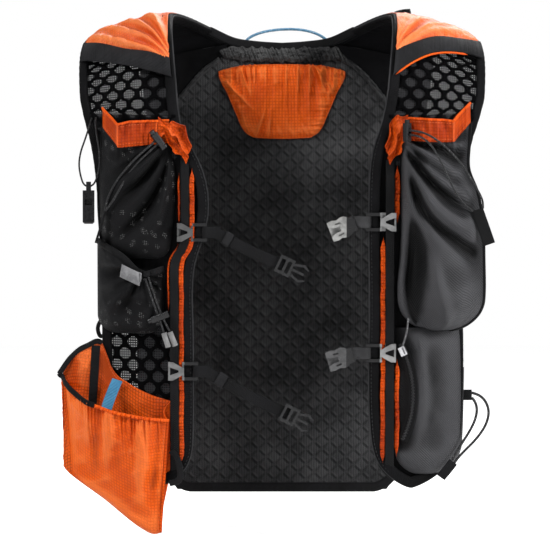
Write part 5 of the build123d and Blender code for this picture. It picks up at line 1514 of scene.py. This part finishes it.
def pouch_back():
    """The pouch's back: flat on the panel, then free, its top a curve from the panel up to the peak and down again."""
    a, t = parts(121, 121)
    x = (2.5 - 9.5 * smooth(t, 0, 0.55)) * (1 - a) + 91 * a
    foot = pouch_foot(x) + 1.5
    w = foot + (through(x, *POUCH_PEAK) - foot) * t
    soft = creased(x, w, 30, 161, 3.6) * smooth(np.minimum(a, 1 - a) * 90, 0, 12)
    lean = 5.4 * smooth(x, 50, 70) * (1 - smooth(x, 72, 86)) * smooth(t, 0.3, 1)
    return np.stack(np.broadcast_arrays(x, -1.0 - soft - lean, w), -1)


def in_pouch(points):
    """Points of the pouch's frame, carried to the object's."""
    return pouch(*np.moveaxis(points, -1, 0))


def gusset(name, near, far, bulge, facing):
    """The cloth that closes the pouch at one end, between its front's edge and its back's, bulging along x."""
    grid = between(near[None], far[None], parts(121, 31)[1][..., None])
    grid = grid + np.stack([bulge, 0 * bulge, 0 * bulge], -1)
    return sheet_piece(name, in_pouch(grid), 0.8, orange_cloth, "right_front", facing=facing)


pouch_cloth, pouch_lining = pouch_front(), pouch_back()
sheet_piece("pouch_front_cloth", in_pouch(pouch_cloth), 0.9, orange_cloth, "right_front", "side_pouch")
sheet_piece("pouch_back_cloth", in_pouch(pouch_lining), 0.9, orange_inside, "right_front")
t, a = parts(121, 31)
spot = np.linspace(0, 1, 121)
near, far = (np.stack([np.interp(spot, np.linspace(0, 1, 181), line[:, k]) for k in range(3)], -1)
             for line in (pouch_cloth[:, 0], pouch_cloth[:, -1]))
belly = np.sin(np.pi * a) * (0.8 + 1.4 * t) + 0.3 * ripple(t * 8 + a * 2, 171)
gusset("pouch_gusset_outer", far, pouch_lining[:, -1], belly, (-1, 0, 0))
gusset("pouch_gusset_inner", near, pouch_lining[:, 0], np.sin(np.pi * a) * 5.0 * smooth(t, 0.0, 0.3), (1, -0.5, 0))

welt = near[2:-2] * 0.9 + pouch_lining[2:-2, 0] * 0.1 + [0.6, -1.6, 0]
band("pouch_side_welt", in_pouch(welt), (1, 0, 0), (2.6, 2.2, 0.6, 14), shaded_orange, "right_front")
k = np.linspace(0, 1, 31)[:, None]
corner = between(far[-1], pouch_lining[-1, -1], k) + np.sin(np.pi * k) * [2.2, 0, 0]
binding = averaged(np.concatenate([pouch_cloth[-1, 118:], corner[1:-1], pouch_lining[-1, ::-1][:46]]), 4)
at = np.arange(len(binding))
rolled = (smooth(at, 30, 50) * (1 - smooth(at, 88, 108)))[:, None] * [1.2, -2.6, 0.6]
band("pouch_binding", in_pouch(binding + rolled), (0, 0, 1), (4.6, 2.4, 0.5, 18), edge_tape, "right_front")
band("pouch_front_hem", in_pouch(pouch_cloth[-1, :121] + [0, 0, -0.2]), (0, 0, 1), (3.0, 2.0, 0.6, 16), orange_cloth,
     "right_front")
strip = [(60, -3.6, -203), (61, -4.5, -222), (62.5, -5.2, -246), (64, -6.5, -276)]
strip = through(np.linspace(0, 1, 40), [0, 0.3, 0.7, 1], strip)
band("pouch_elastic", in_pouch(strip), (1, 0, 0), (7.6, 1.4, 0.25, 20), edge_tape, "right_front", slot="black_stretch")
label = [(40.5, -4.5, -233), (42.5, -9.5, -240), (45.5, -14.0, -250), (47.5, -17.5, -258)]
label = through(np.linspace(0, 1, 24), [0, 0.4, 0.8, 1], label)
band("pouch_label", in_pouch(label), (1, 0, 0), (9.6, 1.3, 0.25, 20), blue_tape, "right_front")
rows = [pouch_cloth[-6] - [0, 0.3, 0], pouch_cloth[5] - [0, 0.3, 0], pouch_cloth[:, 5] - [0, 0.3, 0],
        pouch_lining[-4] - [0, 0.2, 0]]
stitches("pouch_thread", [(in_pouch(row), FRONTWARD) for row in rows], thread_orange, "right_front", **FINE_THREAD)


# Bag, rear pocket, wings --------------------------------------------------------------------------


BAG_ZIP = zip_frame([0, 83.736, 45.102], [0, 0.95157, 0.30743], [0, -0.30743, 0.95157])
BAG_ARC = (92.0, 66.0)  # radius, and degrees to either side of its top
BAG_BASE, BAG_TALL, BAG_WAIST = -200, 396, -36  # heights of the bag's base and waist seam, and how tall it is
BAG_FRONT = 7  # depth where the bag's sides meet the back panel
REAR_BASE, REAR_Y = -187, 109.2
WING_ROWS = 93


def bag_depth(z):
    """How far behind the back the bag's rear face stands at a height: upright below, leaning in above."""
    return through(z, [-200, -190, -172, -150, -90, -30, 60, 140, 168, 186, 196],
                   [84, 97, 106, 108.2, 109, 107, 76.5, 51, 40, 30, 22])


def bag_half(z):
    """Half width of the bag at a height."""
    return through(z, [-200, -186, -160, -60, 30, 110, 150, 182, 196], [92, 110, 119, 121.5, 120.5, 113, 105, 82, 58])


def bag_grid():
    """The bag's outside: a level section with upright sides, round corners and a flat rear, shrunk at both ends."""
    u, t = parts(161, 221, -1)
    end = np.sin(np.pi / 2 * np.clip(np.minimum(t, 1 - t) / 0.045, 0, 1))
    z = BAG_BASE + BAG_TALL * t
    half, deep = bag_half(z) * (0.9 + 0.1 * end), BAG_FRONT + (bag_depth(z) - BAG_FRONT) * (0.25 + 0.75 * end)
    radius = np.minimum(27.0, (deep - BAG_FRONT) * 0.92)
    flat, wall = half - radius, deep - BAG_FRONT - radius
    arc = radius * np.pi / 2
    reach = np.abs(u) * (flat + arc + wall)
    turn = np.clip((reach - flat) / radius, 0, np.pi / 2)
    x = np.minimum(reach, flat) + radius * np.sin(turn)
    y = deep - radius * (1 - np.cos(turn)) - np.maximum(reach - flat - arc, 0)
    grid = np.stack([np.sign(u) * x, y, z + 0 * x], -1)
    out = normals(grid)
    out = out * np.sign((out * (grid - [0, 40, 0])).sum(-1, keepdims=True).mean())
    flat_u = np.sign(u) * reach
    soft = creased(flat_u, z, 60, 201, 5.0, 0.42) + creased(flat_u, z * 0.8, 24, 203, 2.0)
    zip_calm = 1 - 0.9 * dome(np.hypot(x * np.sign(u), (z - 45) / 0.95), BAG_ARC[0], 14) * (z > 70)
    seat_calm = 1 - 0.85 * smooth(104 - np.abs(flat_u), 0, 12) * smooth(-z, 36, 48) * smooth(z, -196, -180)
    calm = np.minimum(zip_calm, seat_calm) * smooth(np.minimum(t, 1 - t), 0, 0.05) * smooth(1 - np.abs(u), 0, 0.08)
    return grid + out * ((soft + 2.4 * dome(z, -150, 30)) * calm - 0.6)[..., None], z[:, 0]


bag, height = bag_grid()
bag = zip_bed(bag, BAG_ZIP, *BAG_ARC)
waist = int(np.argmax(height > BAG_WAIST))
sheet_piece("bag_upper_cloth", bag[waist:], 1.2, black_cloth, stands_for="main_bag", facing=REARWARD)
sheet_piece("bag_lower_cloth", bag[:waist + 1], 1.2, black_cloth, facing=REARWARD)
row = bag[waist]
band("bag_waist_seam", row + (row - [0, 60, BAG_WAIST]) * 0.004, (0, 0, 1), (5.0, 2.4, 0.5, 18), orange_cloth)
for side, column in (("left", -29), ("right", 28)):
    seam = bag[4:-4, column]
    out = unit(seam - np.stack([seam[:, 0] * 0.6, seam[:, 1] * 0.5, seam[:, 2]], -1))
    band(f"{side}_bag_piping", seam + out * 0.6, (0, 1, 0), (3.2, 3.0, 0.9, 14), edge_tape, slot="black_ripstop")
    rows = [(bag[6:-6, column + k] + out[2:-2] * 0.5, REARWARD) for k in (-3, 3)]
    stitches(f"{side}_bag_thread", rows, thread_black, step=4.2, long=2.8, slot="black_ripstop")
for end, row in (("top", bag[-2]), ("base", bag[1])):
    band(f"bag_{end}_binding", row, (0, 0, 1), (5.0, 4.0, 0.6, 18), edge_tape, slot="black_ripstop")


def rear_pocket_grid():
    """The stretch pocket on the bag's rear: a low dome, its mouth gathered by elastic."""
    a, t = parts(161, 121, -1)
    top = -44 - 7 * (1 - a**2)
    z = REAR_BASE + (top - REAR_BASE) * t
    x = a * through(t, [0, 0.08, 0.25, 0.7, 1], [84, 92, 95.5, 96, 94])
    across = np.sqrt(np.clip(1 - np.abs(a) ** 5, 0, 1))
    out = 11.5 * rounded(t, 0.22) * across * (1 - 0.25 * smooth(t, 0.7, 1))
    gather = ripple(a * 15, 211, 0.5, 2.0) * np.exp(-(top - z) / 26) * 1.6
    edge = smooth(np.minimum((1 - np.abs(a)) * 95, z - REAR_BASE), 0, 10)
    lift = np.maximum(out + (gather + creased(a * 95, z, 40, 213, 3.0)) * edge, 0.2)
    return np.stack([x, REAR_Y + lift, z + 0 * x], -1)


def wing(side):
    """A side wing: knit from the front panel's outer edge back to the back panel, bowed a little, with its cells."""
    sign = SIGN[side]
    w = np.linspace(-190, -8, WING_ROWS)
    lead = front(157, wrap(160.0) + 4.6, w, side)
    z = lead[:, 2]
    tail = np.stack([np.full(WING_ROWS, sign * 129.0), np.full(WING_ROWS, 4.0), z], -1)
    k = np.linspace(0, 1, 61)[None]
    out = unit(np.cross(tail - lead, (0, 0, -sign)))[:, None]
    far = np.linalg.norm(tail - lead, axis=-1)[:, None] * k
    bend = 3.0 * np.sin(np.pi * k) + 0.8 * ripple(z[:, None] / 40 + far / 60, 221)
    at = np.arange(WING_ROWS)
    rim = smooth(np.minimum(at, WING_ROWS - 1 - at)[:, None] * 2.0, 2, 8)
    dimple = 1.1 * smooth(cell(far, z[:, None]), -0.1, 0.9) * rim
    return between(lead[:, None], tail[:, None], k[..., None]) + out * (bend - dimple)[..., None]


rear = rear_pocket_grid()
sheet_piece("rear_pocket_cloth", rear, 1.0, jersey, stands_for="rear_pocket", facing=REARWARD)
band("rear_pocket_rim", rear[-1] + [0, 0.4, 0], (0, 0, 1), (9.0, 2.4, 0.4, 20), elastic)
for name, edge in (("left", rear[:, -2]), ("right", rear[:, 1]), ("base", rear[1])):
    band(f"rear_pocket_{name}_binding", edge, turning(edge), (5.0, 2.0, 0.5, 16), edge_tape, slot="black_stretch")
for side in SIGN:
    grid = wing(side)
    sheet_piece(f"{side}_wing_knit", grid, 2.2, back_knit, stands_for="side_wings" if side == "left" else None,
                facing=(SIGN[side], 0, 0))
    for name, row in (("upper", grid[-1]), ("lower", grid[0])):
        band(f"{side}_wing_{name}_binding", row, (0, 0, 1), (8.0, 3.6, 0.5, 18), edge_tape)


# Zips ---------------------------------------------------------------------------------------------


COIL_PITCH = 1.35  # length along the arc that one block of a coil takes up


def zip_piece(name, where, radius, reach, body, stands_for):
    """A coil zip on an arc: its tape, and a coil made of small hooked blocks a millimetre and a third apart."""
    middle, across, top, out = where

    def arc(degrees):
        """The directions away from the arc's middle and along the arc, at angles from its top."""
        angle = np.radians(degrees)[:, None]
        return np.sin(angle) * across + np.cos(angle) * top, np.cos(angle) * across - np.sin(angle) * top

    away, _ = arc(np.linspace(-reach, reach, 121))
    band(f"{name}_tape", middle + radius * away + out * 0.35, away, (8.4, 0.9, 0.25, 16), edge_tape, body, stands_for,
         slot="zip")
    steps = int(radius * math.radians(2 * reach) / COIL_PITCH)
    away, along = arc(np.linspace(-reach + 0.5, reach - 0.5, steps))
    shift = np.where(np.arange(steps) % 2, 0.45, -0.45)[:, None]
    centre = middle + away * (radius + shift) + out * 1.05
    block = np.array([(i, j, k) for i in (-1.25, 1.25) for j in (-0.42, 0.42) for k in (-0.35, 0.42)])
    block[block[:, 2] > 0, 0] *= 0.72
    points = centre[:, None] + away[:, None] * block[:, :1] + along[:, None] * block[:, 1:2] + out * block[:, 2:]
    faces = np.array([(0, 1, 3, 2), (4, 6, 7, 5), (0, 4, 5, 1), (2, 3, 7, 6), (1, 5, 7, 3), (0, 2, 6, 4)])
    if np.linalg.det(np.stack([away[0], along[0], out])) < 0:
        faces = faces[:, ::-1]
    faces = (np.arange(steps)[:, None, None] * 8 + faces).reshape(-1, 4)
    made = piece(f"{name}_coil", points.reshape(-1, 3), faces, None, coil_black, body)
    made.data.polygons.foreach_set("use_smooth", np.zeros(len(made.data.polygons), bool))


zip_piece("bag_zip", BAG_ZIP, *BAG_ARC, "pack", "main_zip")
zip_piece("pocket_zip", POCKET_ZIP, *POCKET_ARC, "left_front", "pocket_zip")


# Tabs and small fittings --------------------------------------------------------------------------


def tab(name, top, low, wide, side, stands_for=None, across=(1, 0, 0), bow=1.2):
    """A flat webbing tab: from its cord end to its loose end, bowed a little, its free end cut square."""
    k = np.linspace(0, 1, 24)[:, None]
    line = between(np.array(top, float), np.array(low, float), k)
    line[:, 1] -= bow * np.sin(np.pi * k[:, 0])
    band(name, front(*line.T, side), across, (wide, 1.9, 0.22, 24), webbing, f"{side}_front", stands_for)


tab("left_pull_web", (168.9, -21.5, -80.9), (179.6, -21.5, -111), 10.5, "left", "left_pull_tab")
tab("right_pull_web", (154.6, 2.3, -84), (163, 2.3, -111), 8.0, "right", "right_pull_tab", across=(0, 1, 0))
tab("side_top_web", (157.6, 23.6, -248.2), (167.6, 23.6, -248.2), 9.4, "left", "side_cord_tabs",
    across=(0, 0, 1), bow=0.4)
tab("side_foot_web", (150.2, -2.0, -304.4), (139.4, -2.0, -318), 8.5, "left")

# The fittings keep the model's own shapes: each takes the finish of the last word here that its name ends with.
FINISH_OF = {
    "lock": plastic_black, "button": plastic_black, "clamps": plastic_grey,
    "whistle": plastic_black, "slider": plated, "pull": plated, "reservoir": film, "sleeve": lining,
    # The wearer's left buckles take lighter copies of the black acetal: painted highlight.
    "buckle": plastic_black, "reservoir_clamp": plastic_black, "left_upper_buckle": pale_lit_plastic,
    "left_lower_buckle": dim_lit_plastic,
}
# Each clip gets its own copy of grey acetal at its own brightness: lit and shaded copies, painted light; its part
# nearer the middle than loop_end is black.
for side, level, loop_end, shade in (("left", "upper", 85.3, 150), ("left", "lower", 85.3, 150),
                                     ("right", "upper", 77.8, 84), ("right", "lower", 85.8, 118)):
    clip = f"{side}_{level}_clip"
    FINISH_OF[clip] = moulded(f"{clip}_acetal", [shade] * 3, [0.68 * shade] * 3, rough=(0.34, 0.46),
                              black=(0.0, loop_end * 0.001))
for name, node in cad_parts.items():
    for word, finish in FINISH_OF.items():
        if name.endswith(word):
            node.data.materials.clear()
            node.data.materials.append(finish)

knob = np.linspace(0, 1, 15)[:, None]
line = yoke(3.02, 0.12, 5.6, "left") + (np.array([14.0, 0, 2.6]) * (knob - 0.5))
band("shoulder_toggle", line, (0, 1, 0), (7.0, 6.0, 0.8, 20), plastic_black,
     taper=0.55 + 0.45 * np.sin(np.pi * np.clip(knob[:, 0], 0.06, 0.94)) ** 0.4)
